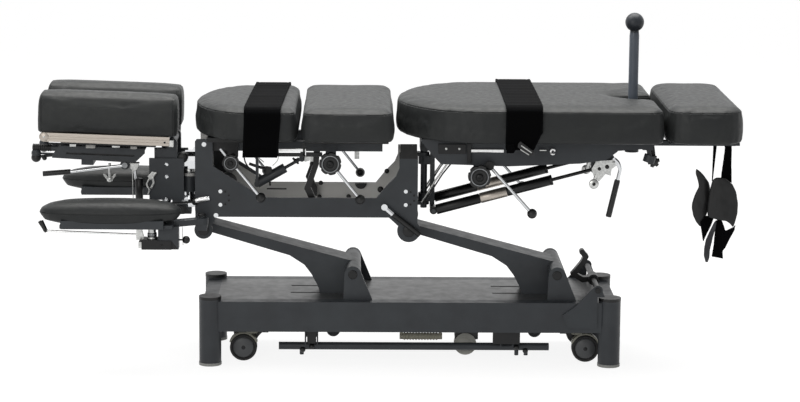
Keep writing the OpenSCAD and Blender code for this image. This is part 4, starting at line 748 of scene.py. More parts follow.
# Left edge of each strap, half the width and the height of the cushion under it, and where its ends lie
THORACIC_STRAP_X, THORACIC_HALF_W, THORACIC_H, THORACIC_DROP_Z = -383, 272, 90, 620
LEG_STRAP_X, LEG_HALF_W, LEG_H, LEG_DROP_Z = 344, 291, 101, 648
CUSHION_Z0 = 662
# Above this height a strap lies on top of its cushion, and folds more
STRAP_TOP_Z = 725
# A bound edge and its line of stitches: how far they stand out, and how wide the stitched line is
BINDING_MM, STITCH_DEPTH_MM, STITCH_W_MM = 0.7, 0.5, 2.5


def band(name, rows, thickness_mm, body, across=25, edge_mm=7.0):
    """A strap with bound edges: rows are (left, right, outward) in metres along its length."""
    points, faces = [], []
    for side in (0, 1):
        for left, right, out in rows:
            for k in range(across):
                u = k / (across - 1)
                off = min(u, 1 - u) * (right - left).length / MM
                bound = BINDING_MM * MM if off < edge_mm else 0.0
                groove = -STITCH_DEPTH_MM * MM if edge_mm <= off < edge_mm + STITCH_W_MM else 0.0
                lift = (bound + groove) if side == 0 else -thickness_mm * MM
                points.append(left.lerp(right, u) + out * lift)
    count = len(rows)
    layer = count * across
    for j in range(count - 1):
        for k in range(across - 1):
            a = j * across + k
            faces.append((a, a + 1, a + across + 1, a + across))
            b = a + layer
            faces.append((b, b + across, b + across + 1, b + 1))
    for j in range(count - 1):
        for k in (0, across - 1):
            a = j * across + k
            faces.append((a, a + across, a + across + layer, a + layer))
    for row in (0, count - 1):
        for k in range(across - 1):
            a = row * across + k
            faces.append((a, a + 1, a + 1 + layer, a + layer))
    made = piece(name, mesh_of(name, points, faces), webbing, body)
    return sharpened(made, 60)


def over_cushion(half_w, drop_z, z0, height, rise_mm=9):
    """Outer path of a strap over a cushion: (y, z) places with the outward direction, from front to back."""
    top = z0 + height
    route = [
        (half_w + 8, drop_z), (half_w + 8, z0 + 0.4 * height), (half_w + 8, z0 + 0.75 * height),
        (half_w + 7, top - 8), (half_w + 2, top + 1), (half_w - 9, top + rise_mm - 2.5),
        (half_w - 34, top + rise_mm - 0.5),
        (half_w / 2, top + rise_mm), (0, top + rise_mm + 1),
    ]
    route = [Vector((0, -y, z)) for y, z in route]
    route += [Vector((0, -p.y, p.z)) for p in route[-2::-1]]
    smooth = curve_through(route, 9)
    rows = []
    for k, p in enumerate(smooth):
        along = smooth[min(k + 1, len(smooth) - 1)] - smooth[max(k - 1, 0)]
        rows.append((p, Vector((0, -along.z, along.y)).normalized()))
    return rows


def folded(out, x, y, z, amount):
    """Shallow folds that run across a strap where it bends."""
    crease = noise.noise(Vector((x * 0.006, y * 0.045, z * 0.045)))
    return out * (crease * amount + math.sin(y * 0.11 + x * 0.02) * amount * 0.35)


def strap_over(name, node, body, rows):
    """A strap across a cushion in the place of its solid."""
    strap = band(name, rows, STRAP_THICK, body)
    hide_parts(node)


def make_straps():
    rows = []
    for p, out in over_cushion(THORACIC_HALF_W, THORACIC_DROP_Z, CUSHION_Z0, THORACIC_H):
        # The strap runs askew across the cushion, and its front end narrows and leans to the left
        share = (p.y + THORACIC_HALF_W + 5) / (2 * THORACIC_HALF_W + 10)
        shift = 15 * share
        low = max(0.0, (720 - p.z) / 100) if p.y < 0 else 0
        q = p + folded(out, 0, p.y, p.z, 1.6 if p.z > STRAP_TOP_Z else 0.5)
        left = at(THORACIC_STRAP_X + shift - 4 * low, q.y, q.z)
        rows.append((left, at(THORACIC_STRAP_X + STRAP_W + shift - 9 * low, q.y, q.z), out))
    strap_over("thoracic_strap_band", "thoracic_strap", "thoracic", rows)

    rows = []
    for p, out in over_cushion(LEG_HALF_W, LEG_DROP_Z, CUSHION_Z0, LEG_H):
        q = p + folded(out, 40, p.y, p.z, 1.4 if p.z > STRAP_TOP_Z else 0.5)
        left, right = LEG_STRAP_X, LEG_STRAP_X + STRAP_W
        if p.y < 0 and p.z < 696:
            # The front end is gathered into its buckle
            left, right = left - 0.5, right - 2 - 14 * (696 - p.z) / 31
        rows.append((at(left, q.y, q.z), at(right, q.y, q.z), out))
    strap_over("leg_strap_band", "leg_strap", "leg", rows)


# Head section

RAIL_Y, RAIL_X0, RAIL_X1 = 150, -952, -599
RAIL_Z0, RAIL_H, RAIL_HALF_W, RAIL_EDGE = 631, 26, 8, 0.6
# The two grooves along a rail's outer face: how deep, and the heights of their mouths
GROOVE_DEPTH, GROOVES = 1.4, ((18.4, 15), (11, 8))


def rail_ring(x, y, s):
    """Section of a head rail at x: a flat bar with two grooves along its outer face."""
    h, half, e = RAIL_H, RAIL_HALF_W, RAIL_EDGE
    shape = [(-half, e), (-half + e, 0), (half - e, 0), (half, e), (half, h - e), (half - e, h)]
    shape += [(-half + e, h), (-half, h - e)]
    for high, low in GROOVES:
        inner = -half + GROOVE_DEPTH
        shape += [(-half, high), (inner, high - 0.4), (inner, low + 0.4), (-half, low)]
    return [tilted(x, y + (a if s < 0 else -a), RAIL_Z0 + b) for a, b in shape]


def make_head():
    body = "head_slide"
    for s, side in ((-1, "front"), (1, "back")):
        y = s * RAIL_Y
        name = "head_rail_" + side
        rail = sharpened(
            piece(name, lofted(name, [rail_ring(RAIL_X0, y, s), rail_ring(RAIL_X1, y, s)]), aluminium, body)
        )
        if s < 0:
            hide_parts("head_rails")
        drum(
            "rail_boss_" + side, tilted(RAIL_X0, y - s * 8.5, 644.5), (0, s, 0), 13.8, 17, aluminium, body,
            1.0,
        )
        drum(
            "rail_boss_pin_" + side, tilted(RAIL_X0, y + s * 8.4, 644.5), (0, s, 0), 3.2, 1.4, zinc, body,
            0.3, 18,
        )
        drum(
            "rail_screw_recess_" + side, tilted(-612, y + s * 7.2, 641), (0, s, 0), 3.0, 1.1, black_coat_and_painted_shade,
            body, 0.2, 18,
        )
        prism(
            "rail_tip_" + side, rectangle(-600, -587, 628, 648), y - 6, y + 6, zinc, body, 1.2, tilted,
        )
        prism(
            "rail_underplate_" + side, rectangle(-905, -640, 626, 631), y - 6, y + 6, black_coat_and_painted_shade, body, 0.6,
            tilted,
        )
    for k, x in enumerate((-900, -780, -660)):
        prism(
            "rail_cross_bar_%d" % k, rectangle(x - 12, x + 12, RAIL_Z0, RAIL_Z0 + 12), -RAIL_Y, RAIL_Y,
            black_coat_and_painted_shade, body, 0.8, tilted,
        )
    body = "head_frame"
    for k, (x0, x1, z0, z1) in enumerate(
        ((-884, -866, 622, 636), (-838, -812, 618, 634), (-764, -742, 620, 636), (-712, -694, 616, 636))
    ):
        prism(
            "slide_clip_%d" % k, rectangle(x0, x1, z0, z1), -118, -98, zinc if k in (0, 2) else pale_coat_and_painted_light,
            body, 0.8,
        )
    for s, side in ((-1, "front"), (1, "back")):
        prism(
            "slide_strip_" + side, rectangle(-905, -690, 580, 600), s * 94, s * 91.5, black_coat_and_painted_shade, body, 0,
            tilted,
        )
        stripes = []
        for k in range(9):
            start = 6.0 * k
            stripes += [(9.2, start), (10.4, start + 1.2), (10.4, start + 3.8), (9.2, start + 5.0)]
        profile = [(6, -1)] + stripes + [(6, 54)]
        name = "ribbed_grip_" + side
        sharpened(
            piece(
                name, turned(name, tilted(-991, s * 91, 603), (1, 0, -0.028), profile, 28), black_plastic,
                body,
            ),
            40,
        )
        ball("release_ball_" + side, tilted(-981, s * 91, 574), 14, black_plastic, body)
        ball("release_button_" + side, at(-959, s * 91, 585), 7, black_plastic, body)
        rod(
            "release_stem_" + side, [tilted(-975, s * 91, 576), tilted(-935, s * 91, 582)], 4, black_coat_and_painted_shade,
            body,
        )
    # Wing nut under the channel
    rod("wing_nut_stem", [at(-777, -62, 566), at(-777, -62, 512)], 4.2, zinc, body)
    drum("wing_nut_hub", at(-777, -62, 514), (0, 0, 1), 8, 12, zinc, body)
    for s in (-1, 1):
        prism(
            "wing_nut_wing_%s" % ("left" if s < 0 else "right"),
            [
                (-777 + s * 6, 516), (-777 + s * 16, 528), (-777 + s * 19, 536), (-777 + s * 12, 534),
                (-777 + s * 5, 524),
            ],
            -64, -60, zinc, body, 0.8,
        )
    # Gas spring that carries the head frame's weight
    prism(
        "gas_spring_clevis", [(-716, 572), (-690, 572), (-694, 556), (-704, 548), (-714, 556)], -96, -70,
        zinc, body, 1.0,
    )
    rod("gas_spring_rod", [at(-704, -83, 556), at(-700, -83, 524)], 4, chrome, body)
    rod("gas_spring_wire", [at(-709, -92, 556), at(-708, -92, 470)], 1.2, zinc, body)
    drum("gas_spring_cylinder", at(-691, -83, 464), (0, 0, 1), 11, 62, black_coat_and_painted_shade, body, 1.2)
    body = "head_block"
    for k, (x, z) in enumerate(((-611, 570), (-611, 535), (-613, 470))):
        cap_screw("block_screw_%d" % k, at(x, -100, z), (0, -1, 0), 12 if k < 2 else 9, body)
        cap_screw("block_back_screw_%d" % k, at(x, 100, z), (0, 1, 0), 12 if k < 2 else 9, body)
    prism(
        "block_latch_plate", [(-665, 536), (-652, 551), (-641, 549), (-646, 538), (-656, 526)], -112, -104,
        zinc, body, 1.0,
    )
    bent_rod(
        "block_latch_hook", -108, [(-650, 544), (-661, 528), (-667, 512), (-660, 498), (-664, 484)], 2.6,
        zinc, body,
    )
    bent_rod(
        "block_latch_spring", -109, [(-640, 548), (-650, 534), (-648, 518), (-655, 503)], 3.4, zinc, body,
    )
    drum("block_side_knob", at(-566, -96, 588), (0, 1, 0), 15, 30, black_plastic, body, 3.0)
    prism(
        "block_upper_plate", [(-646, 587), (-646, 612), (-604, 612), (-590, 600), (-590, 587)], -84, -64,
        steel_coat, body, 1.0,
    )
    rod(
        "tilt_release_rod", [at(-607, -104, 456), at(-560, -136, 466), at(-528, -150, 471)], 3.2,
        black_coat_and_painted_shade, body,
    )
    body = "chassis"
    for s, side in ((-1, "front"), (1, "back")):
        drum("column_collar_" + side, at(-549, s * 62, 494), (0, 0, 1), 17, 22, zinc, body, 1.0)
        drum("column_upper_collar_" + side, at(-549, s * 62, 540), (0, 0, 1), 16.5, 14, zinc, body, 1.0)
        drum("column_middle_sleeve_" + side, at(-549, s * 62, 520), (0, 0, 1), 15.4, 30, pale_coat_and_painted_light, body, 0.6)
    rod(
        "lock_lever_arm", [at(-527, -150, 474), at(-512, -150, 477), at(-493, -150, 481)], [6, 8, 6.5],
        satin_steel, body,
    )
    drum("lock_lever_hub", at(-528, -152, 470), (0, 1, 0), 9, 18, black_coat_and_painted_shade, body)


def soft_prism(name, outline, y0, y1, voxel_mm, warp, material, body):
    """A soft piece cut to an outline, netted finely and bent along y by warp(x, z)."""
    made = piece(name, plate_mesh(name, outline, y0, y1), material, body)
    net = made.modifiers.new("net", "REMESH")
    net.mode = "VOXEL"
    net.voxel_size = voxel_mm * MM
    smooth = made.modifiers.new("smooth", "SMOOTH")
    smooth.factor = 0.6
    smooth.iterations = 4
    applied(made)
    for v in made.data.vertices:
        v.co.y += warp(v.co.x / MM + VIEW_MIDDLE, v.co.z / MM) * MM
    covered(made, material)
    return made


# Each cuff of the ankle straps: its outline, front and back, and how far it curls at a place along x
ANKLE_CUFFS = (
    ("rear_ankle_cuff", (
        (901, 566), (912, 559), (923, 548), (940, 525), (946, 500), (944, 458), (932, 423), (924, 402),
        (917, 396), (905, 411), (896, 430), (892, 452), (893, 466), (900, 490), (910, 513), (908, 527),
        (900, 552),
    ), -106, -96, 0, lambda x: 10 * ((x - 918) / 26) ** 2 * 0.6),
    ("front_ankle_cuff", (
        (940, 511), (946, 536), (955, 544), (967, 545), (983, 542), (1003, 526), (1015, 503), (1022, 467),
        (1021, 440), (1014, 413), (1009, 399), (999, 411), (987, 419), (971, 421), (959, 423), (936, 429),
        (934, 450), (936, 480),
    ), -124, -113, 40, lambda x: -9 * (1 - ((x - 978) / 44) ** 2)),
)
# Each loose web: its outline, front and back, how far it waves, and its cloth
ANKLE_WEBS = (
    ("ankle_tail_bound", (
        (961, 424), (953, 415), (940, 388), (930, 364), (926, 339), (926, 319), (932, 298), (939, 298),
        (943, 312), (944, 335), (951, 372), (959, 400),
    ), -130, -126, -3, bound_webbing),
    ("ankle_tail_long", (
        (958, 404), (955, 347), (950, 313), (984, 307), (982, 329), (990, 339), (1001, 364), (1014, 389),
        (1017, 408), (1010, 400), (988, 389), (984, 402), (975, 424), (962, 422),
    ), -122, -118, 2, webbing),
    ("ankle_tail_rear", (
        (915, 412), (921, 380), (926, 352), (936, 376), (948, 402), (955, 424), (934, 432),
    ), -112, -108, 2, webbing),
    ("ankle_web_broad", (
        (966, 655), (1000, 655), (1001, 593), (1004, 526), (971, 536), (977, 593), (980, 630),
    ), -111, -108, 3, webbing),
)
CUFF_VOXEL_MM, WEB_VOXEL_MM = 3.0, 1.7
NARROW_WEB_W, NARROW_WEB_H = 0.011, 0.118


def creased(x, z, amount=2.0):
    """Creases of a soft cuff or web, in millimetres along y."""
    broad = noise.noise(Vector((x * 0.035, z * 0.02, 3.1)))
    return broad * amount + noise.noise(Vector((x * 0.09, z * 0.05, 7.7))) * amount * 0.4


def make_ankle_straps():
    for name, outline, y0, y1, shift, curl in ANKLE_CUFFS:
        cuff = soft_prism(
            name, outline, y0, y1, CUFF_VOXEL_MM, lambda x, z: curl(x) + creased(x + shift, z), neoprene,
            "foot",
        )
    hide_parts("ankle_straps")
    for name, outline, y0, y1, wave, material in ANKLE_WEBS:
        strap = soft_prism(
            name, outline, y0, y1, WEB_VOXEL_MM,
            lambda x, z: wave * math.sin((z - 300) * 0.03) + creased(x, z, 1.0), material, "foot",
        )
        xs, zs = [p[0] for p in outline], [p[1] for p in outline]
        box_w, box_h = (max(xs) - min(xs)) * MM, (max(zs) - min(zs)) * MM
        turns = (a[0] * b[1] - b[0] * a[1] for a, b in zip(outline, outline[1:] + outline[:1]))
        area = abs(sum(turns)) / 2 * MM * MM
        area = max(area, 0.31 * box_w * box_h)
    rows = []
    for k in range(24):
        share = k / 23
        z = 648 - share * NARROW_WEB_H / MM
        rows.append((at(948.3 - 1.5 * share, -104, z), at(959 - 10 * share, -106, z), Vector((0, -1, 0))))
    narrow = band("ankle_web_narrow", rows, 2.4, "foot", across=7, edge_mm=1.2)
    prism("ankle_web_anchor", rectangle(942, 1006, 649, 656), -122, -88, black_coat_and_painted_shade, "foot", 0.8)


# The armrests' middles and their posts in the side view
ARMREST_Y, ARMREST_POST_X = 272, -640


def make_armrests():
    for s, side in ((-1, "front"), (1, "back")):
        node, body = "armrest_arm_" + side, "armrest_" + side
        y = s * ARMREST_Y
        repaint(node, satin_steel, lambda c, n: 397 < c.z < 411 and -933 < c.x < -686)
        repaint(node, black_plastic, lambda c, n: c.x < -932 or (c.x > -557 and 373 < c.z < 397))
        repaint(
            node, zinc, lambda c,
            n: abs(c.x - ARMREST_POST_X) < 13 and abs(c.y - y) < 13 and 386.5 < c.z < 423,
        )
        repaint(node, zinc, lambda c, n: c.x < -673 and abs(c.y - y) < 6 and 386.5 < c.z < 423 and c.x > -686)
        repaint(node, black_coat_and_painted_shade, lambda c, n: c.z < 386.5 and c.x < -571)
        round_edges(node, 0.8)
        prism(
            "armrest_board_rim_" + side, rectangle(-889, -604, 424.5, 448), y - 60, y + 60, steel_coat,
            body, 1.0,
        )
        prism(
            "armrest_clamp_" + side, [(-682, 421), (-670, 421), (-661, 387), (-673, 387)], y - 9, y + 9,
            zinc, body, 0.8,
        )
        drum("armrest_post_collar_" + side, at(ARMREST_POST_X, y, 386), (0, 0, 1), 15, 7, zinc, body)
        drum("armrest_post_upper_" + side, at(ARMREST_POST_X, y, 395), (0, 0, 1), 13.2, 10, dull_zinc, body)
        prism("armrest_box_end_" + side, rectangle(-677, -667, 364, 382), y - 20, y + 20, zinc, body, 1.2)
        prism(
            "armrest_box_lip_" + side, rectangle(-673, -622, 384, 389), y - 26, y + 26, black_coat_and_painted_shade, body,
            0.8,
        )
        rod("armrest_wire_" + side, [at(-556, y - s * 4, 421), at(-554, y - s * 4, 368)], 1.1, zinc, body)
        cap_screw("armrest_box_screw_" + side, at(-612, y + s * 25, 374), (0, s, 0), 6, body, black_coat_and_painted_shade)
        if s < 0:
            rod("armrest_trigger_rod", [at(-936, y, 409.3), at(-683, y, 399.5)], 2.8, satin_steel, body)
            rod("armrest_trigger_grip", [at(-949, y, 437), at(-937, y, 409)], 6.2, black_plastic, body)
        hub_y = s * 196
        drum("armrest_hub_cap_" + side, at(-507, hub_y, 440), (0, 0, 1), 13, 5, black_coat_and_painted_shade, "chassis", 1.0)


def make_chassis():
    # Painted light: the back plate's faces turned to −Y get the pale coat, standing for their lit inner side
    repaint("chassis_plate_back", pale_coat_and_painted_light, lambda c, n: n.y < -0.7)
    body = "chassis"
    for k, (x, z, r) in enumerate(
        ((-175, 480, 6.5), (19, 516, 7), (-179, 439, 6), (-93, 440, 6.5), (1, 461, 9))
    ):
        drum("back_plate_bolt_%d" % k, at(x, 127, z), (0, -1, 0), r, 6, black_coat_and_painted_shade, body, 1.2)
    # Painted shade: a thin black sheet stands for the shade deep inside the section carrier
    prism(
        "carrier_painted_shade", [(-486, 604), (-450, 602), (-425, 530), (-474, 515), (-486, 544)], 58, 62,
        black_coat_and_painted_shade, body, 0.6,
    )
    half_disc = [
        (-57 + 17 * math.cos(t), 480 + 17 * math.sin(t))
        for t in (math.radians(180 + 180 * k / 16) for k in range(17))
    ]
    prism("back_plate_boss", half_disc, 127, 119, black_coat_and_painted_shade, body, 1.0)
    prism("back_plate_slot_shade", rectangle(-334, -276, 459, 463), 127, 126.6, black_coat_and_painted_shade, body, 0)
    prism(
        "back_plate_stiffener",
        [(-340, 486), (-356, 496), (-444, 552), (-438, 560), (-350, 503), (-336, 492)], 127, 119,
        steel_coat, body, 0.8,
    )
    for s, side in ((-1, "front"), (1, "back")):
        for name, x, r in (("left", -505, 16), ("right", 80, 17)):
            drum(
                "pivot_cap_%s_%s" % (name, side), at(x, s * 138.5, 387), (0, s, 0), r, 2.4, black_coat_and_painted_shade,
                body, 0.6,
            )
    # Painted shade: the inside of the section carrier is painted black where it lies in shade, left of x −380
    # and between x −223 and −170 below z 613. The round bosses of the uprights are painted black on their
    # right halves
    repaint("section_carrier", black_coat_and_painted_shade, lambda c, n: (-223 < c.x < -170 and c.z < 613) or c.x < -380)
    for x, z in ((-451, 480), (76, 482)):
        repaint(
            "chassis_fasteners", black_coat_and_painted_shade, lambda c, n: 12 < math.hypot(c.x - x, c.z - z) < 28 and c.x > x,
        )
    # Links and damper of the two drop sections
    prism(
        "drop_link_plate", [(-203, 594), (-180, 594), (-180, 570), (-192, 563), (-203, 572)], -70, -66,
        zinc, body, 0.6,
    )
    drum("drop_link_bolt", at(-198, -66, 569), (0, -1, 0), 6, 8, black_coat_and_painted_shade, body)
    prism(
        "damper_lug", [(-230, 592), (-204, 592), (-204, 578), (-216, 574), (-230, 580)], -68, -62, zinc,
        body, 0.8,
    )
    for k in range(4):
        t = math.radians(45 + 90 * k)
        rod(
            "damper_lock_nut_%d" % k,
            [at(-244, -76, 578), at(-244 + 12 * math.cos(t), -76, 578 + 12 * math.sin(t))], [5.0, 2.6],
            black_coat_and_painted_shade, body,
        )
    rod("damper_shaft", [at(-275, -76, 557), at(-226, -76, 586)], 3.2, zinc, body)
    bent_rod(
        "hook_rod", -80, [(-377, 570), (-360, 564), (-335, 557), (-318, 556), (-312, 545)], 4.2,
        black_plastic, body,
    )
    prism(
        "hook_saddle", [(-330, 562), (-314, 560), (-308, 546), (-316, 532), (-332, 540)], -86, -70,
        black_coat_and_painted_shade, body, 1.5,
    )
    rod("damper_drain", [at(-318, -76, 528), at(-317, -76, 506)], 2.8, black_coat_and_painted_shade, body)
    bent_rod(
        "strap_wire_left", -190, [(-388, 622), (-384, 596), (-374, 578), (-364, 572)], 2.0, black_coat_and_painted_shade, body,
    )
    bent_rod("strap_wire_right", -190, [(-288, 618), (-292, 598), (-306, 583)], 1.3, zinc, body)
    rod("strap_wire_middle", [at(-354, -190, 612), at(-330, -190, 592)], 1.5, zinc, body)
    prism("thoracic_guide_bar", rectangle(-290, -212, 625, 633), -204, -196, satin_steel, "thoracic", 0.8)
    prism("thoracic_lower_bar", rectangle(-296, -214, 611, 621), -204, -196, black_coat_and_painted_shade, "thoracic", 0.8)
    prism("pelvic_lower_bar", rectangle(-212, -166, 611, 623), -204, -196, black_coat_and_painted_shade, "pelvic", 0.8)
    prism("pelvic_far_bracket", rectangle(-76, -62, 556, 612), 98, 101, zinc, "pelvic", 0.8)
    prism(
        "thoracic_guide_hanger_left", rectangle(-296, -288, 614, 648), -204, -196, black_coat_and_painted_shade, "thoracic",
        0.6,
    )
    prism(
        "thoracic_guide_hanger_right", rectangle(-221, -214, 614, 648), -204, -196, black_coat_and_painted_shade, "thoracic",
        0.6,
    )


def make_knobs():
    for node, (x, z), r in (
        ("thoracic_knobs", (-421, 600), 23), ("pelvic_knobs", (-143, 599), 31),
        ("leg_knobs", (275, 564), 32.5),
    ):
        repaint(node, black_coat_and_painted_shade, lambda c, n: math.hypot(c.x - x, c.z - z) < 7 and abs(c.y) < 236)
        for s, side in ((-1, "front"), (1, "back")):
            ring = [(r * 0.69, -1), (r * 0.7, 0.9), (r * 0.77, 0.9), (r * 0.79, -1)]
            side_vector = Vector((0, s, 0))
            sharpened(
                piece(
                    node + "_ring_" + side,
                    turned_ring(node + "_ring_" + side, at(x, s * 260, z), side_vector, ring), dull_zinc,
                    node,
                ),
                35,
            )
            cap_screw(node + "_screw_" + side, at(x, s * 256.2, z), side_vector, r * 0.6, node, black_coat_and_painted_shade)
    for node, (x, z) in (
        ("thoracic_lever", (-338, 498)), ("pelvic_lever", (-59, 494)), ("leg_lever", (425, 456)),
    ):
        repaint(node, black_plastic, lambda c, n: math.hypot(c.x - x, c.z - z) < 14.5)
    repaint("leg_lever", black_coat_and_painted_shade, lambda c, n: math.hypot(c.x - 303, c.z - 592) < 20)
    repaint("head_lever", black_plastic, lambda c, n: c.x < -880)
    repaint("head_lever", dull_zinc, lambda c, n: c.x > -746)
    lever_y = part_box("head_lever")[0].y / MM + 7
    ends = [tilted(-881, lever_y, 539), tilted(-959, lever_y, 530)]
    rod("head_lever_grip", ends, 7.6, black_plastic, "head_lever")
    repaint("swing_handle", chrome, lambda c, n: c.x < 34 and c.z > 436)


def turned_ring(name, place, axis, profile, segments=48):
    """A ring turned about an axis from a closed profile of (radius, distance along the axis)."""
    direction = axis.normalized()
    side = direction.orthogonal().normalized()
    other = direction.cross(side)
    rings = []
    for k in range(segments):
        t = 2 * math.pi * k / segments
        out = side * math.cos(t) + other * math.sin(t)
        rings.append([place + out * (r * MM) + direction * (a * MM) for r, a in profile])
    return lofted(name, rings, closed=True)


def make_leg_section():
    body = "leg"
    prism("strap_guide_bar", rectangle(250, 344, 627, 636), -212, -204, satin_steel, body, 1.2)
    prism("strap_guide_end", rectangle(241, 252, 596, 652), -214, -202, black_coat_and_painted_shade, body, 0.8)
    prism("strap_bracket", rectangle(160, 237, 622, 650), -210, -202, black_coat_and_painted_shade, body, 1.0)
    for k, x in enumerate((182, 219)):
        cap_screw("strap_bracket_screw_%d" % k, at(x, -210, 637), (0, -1, 0), 7, body, zinc)
    rod("strap_eye_stem", [at(444, -214, 635), at(463, -214, 635)], 2.8, zinc, body)
    eye = [
        at(481 + 5.5 * math.cos(t), -216 + 2 * math.cos(2 * t), 631 + 7 * math.sin(t))
        for t in (math.radians(20 + 290 * k / 18) for k in range(19))
    ]
    rod("strap_eye", eye, 3.4, satin_steel, body)
    buckle = [(378, 668), (384, 674), (424, 644), (420, 634), (408, 634), (376, 658)]
    prism("strap_buckle", buckle, -309, -303, black_plastic, body, 1.5)
    rod("strap_buckle_bar", [at(386, -311, 663), at(415, -311, 643)], 1.8, zinc, body)
    rod("strap_buckle_lower_bar", [at(384, -310, 652), at(408, -310, 637)], 1.5, zinc, body)
    prism(
        "strap_end", [(346, 664), (366, 664), (372, 650), (366, 640), (346, 640)], -304, -300, webbing,
        body, 0.8,
    )
    # Bracket that carries the ends of the gas springs
    outline = [
        (600, 566), (612, 590), (668, 594), (672, 578), (657, 566), (655, 547), (640, 552), (622, 530),
        (606, 546),
    ]
    for s, side in ((-1, "front"), (1, "back")):
        y = s * 120
        prism("spring_bracket_" + side, outline, y - 2.5, y + 2.5, zinc, body, 0.8)
        for k, (x, z, r) in enumerate(((622, 567, 5), (644, 573, 6), (662, 585, 4))):
            drum(
                "spring_bracket_bolt_%s_%d" % (side, k), at(x, y + s * 2.4, z), (0, s, 0), r, 2.2,
                black_coat_and_painted_shade if k < 2 else zinc, body, 0.4, 18,
            )
        drum("spring_roller_" + side, at(607, y + s * 3, 524), (0, s, 0), 14, 6, zinc, body, 1.4)
        drum("spring_roller_pin_" + side, at(607, y + s * 9, 524), (0, s, 0), 5, 2, black_coat_and_painted_shade, body, 0.5, 18)
        rod("spring_roller_arm_" + side, [at(614, y, 552), at(607, y, 524)], 5, zinc, body)
    # Clamp of the foot section
    for k in range(6):
        t = math.radians(60 * k + 15)
        rod(
            "foot_clamp_lobe_%d" % k,
            [at(776, -124, 590), at(776 + 17 * math.cos(t), -124, 590 + 17 * math.sin(t))], [8, 5],
            black_plastic, body,
        )
    drum("foot_clamp_hub", at(776, -134, 590), (0, 1, 0), 13, 20, black_plastic, body, 2.0)
    prism(
        "foot_clamp_strap", [(757, 640), (777, 640), (782, 604), (766, 600)], -122, -112, black_coat_and_painted_shade, body,
        1.0,
    )
    # Silver sleeves where the springs pass through their guides
    foot, end = Vector((151, 441)), Vector((612, 564))
    along = (end - foot).normalized()
    for s, side in ((-1, "front"), (1, "back")):
        start = foot + along * 138
        drum(
            "spring_sleeve_" + side, at(start.x, s * 100, start.y), (along.x, 0, along.y), 15.0, 78,
            aluminium, "gas_cylinders", 0.8,
        )
        for k, (reach, span) in enumerate(((8, 129), (217, 126))):
            tube = foot + along * reach
            drum(
                "spring_tube_%s_%d" % (side, k), at(tube.x, s * 100, tube.y), (along.x, 0, along.y), 14.4,
                span, black_coat_and_painted_shade, "gas_cylinders", 1.0,
            )
        near = foot + along * 343
        drum(
            "spring_end_cap_" + side, at(near.x, s * 100, near.y), (along.x, 0, along.y), 14.9, 8,
            black_coat_and_painted_shade, "gas_cylinders", 1.0,
        )
    repaint("release_handle", black_plastic, lambda c, n: c.z < 532)
    rod("release_grip", [at(674, -120, 532), at(651.5, -120, 430)], 8.4, black_plastic, "release_handle")
    bent_rod(
        "release_rod_bend", -120, [(664, 596), (676, 584), (681, 566), (678, 549), (675, 536)], 5.2, chrome,
        "release_handle",
    )
    repaint("tiller", grip_coat, lambda c, n: c.z > 944)
    # Bracing rods between the yaw post and the leg frame
    for s in (-1, 1):
        name = "front" if s < 0 else "back"
        rod(
            "brace_rod_" + name, [at(117, s * 60, 457), at(154, s * 60, 516), at(198, s * 60, 580)], 2.6,
            zinc, "yaw",
        )
        rod(
            "brace_rod_lower_" + name, [at(122, s * 70, 452), at(176, s * 70, 540), at(214, s * 70, 588)],
            2.2, black_coat_and_painted_shade, "yaw",
        )


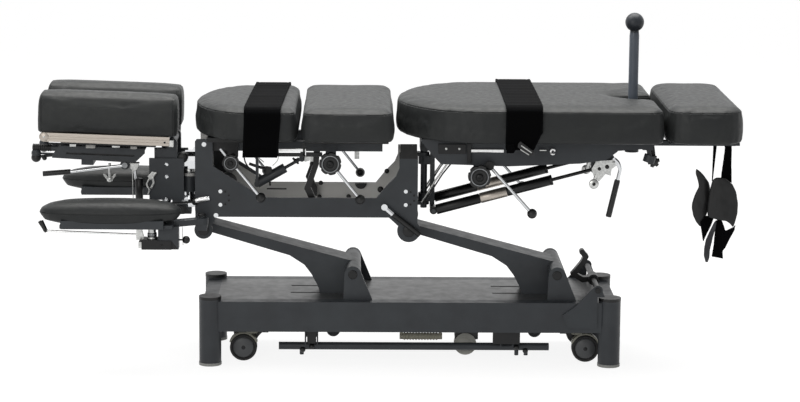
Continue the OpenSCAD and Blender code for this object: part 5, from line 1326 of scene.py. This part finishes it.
def make_base():
    for node in ("wheel_front_left", "wheel_back_left", "wheel_front_right", "wheel_back_right"):
        low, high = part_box(node)
        middle = (low + high) / 2 / MM
        repaint(
            node, hub_plastic, lambda c, n: math.hypot(c.x - VIEW_MIDDLE - middle.x, c.z - middle.z) < 29.5,
        )
        for s in (-1, 1):
            name = "%s_cap_%s" % (node, "outer" if s * middle.y > 0 else "inner")
            drum(
                name, Vector((middle.x, middle.y + s * 14.4, middle.z)) * MM, (0, s, 0), 28.5, 2.0,
                hub_plastic, node, 0.9, 40,
            )
            drum(
                name + "_pin", Vector((middle.x, middle.y + s * 16.2, middle.z)) * MM, (0, s, 0), 4.0, 1.6,
                black_coat_and_painted_shade, node, 0.5, 18,
            )
    for node in ("rocker_left", "rocker_right"):
        repaint(node, housing_plastic, lambda c, n: c.z > 78 and abs(c.y) > 97.5)
        x0 = -393 if node == "rocker_left" else 593
        inward = 1 if node == "rocker_left" else -1
        for s, side in ((-1, "front"), (1, "back")):
            guard = [
                (x0 + 43 * math.cos(t), 40 + 45 * math.sin(t))
                for t in (math.radians(20 + 140 * k / 14) for k in range(15))
            ]
            guard += [
                (x0 + 38 * math.cos(t), 40 + 40 * math.sin(t))
                for t in (math.radians(160 - 140 * k / 14) for k in range(15))
            ]
            prism("%s_guard_%s" % (node, side), guard, s * 92, s * 120, housing_plastic, node, 0.8)
            prism(
                "%s_pad_%s" % (node, side),
                rectangle(x0 + min(8 * inward, 34 * inward), x0 + max(8 * inward, 34 * inward), 80, 95),
                s * 96, s * 118, housing_plastic, node, 1.5,
            )
    repaint("control_box", conduit_plastic, lambda c, n: c.y < -80)
    repaint("actuator_body", motor_paint, lambda c, n: math.hypot(c.x - 247, c.z - 47) < 33 and c.y < -59)
    drum("motor_badge", at(245, -96.2, 47), (0, -1, 0), 20, 0.8, motor_paint, "actuator_body", 0.4)
    repaint("base_brackets", black_coat_and_painted_shade, lambda c, n: c.z < 99)
    for name, x0, x1 in (("left", -209, -183), ("right", 324, 402)):
        prism("foot_bar_hanger_" + name, rectangle(x0, x1, 60, 99), -152, -136, black_coat_and_painted_shade, "base", 1.0)
    for k, (x, z) in enumerate(((-222, 37), (-196, 46), (393, 46), (419, 36))):
        ball("foot_bar_knob_%d" % k, at(x, -131, z), 8, black_plastic, "foot_bar")
    for s, side in ((-1, "front"), (1, "back")):
        for x in (-79, 506):
            drum(
                "lug_washer_%s_%d" % (side, x + 100), at(x, s * 142, 260), (0, s, 0), 13.5, 1.6, black_coat_and_painted_shade,
                "base", 0.5,
            )


scene.view_settings.view_transform = "Standard"
make_camera()
make_stage()
make_lights()
finish_nodes()
make_cushions()
make_straps()
make_ankle_straps()
make_head()
make_armrests()
make_chassis()
make_knobs()
make_leg_section()
make_base()
for part in (
    "base_rails", "chassis_plate_front", "chassis_plate_back", "left_arm", "right_arm", "base_brackets",
    "leg_frame",
):
    round_edges(part)
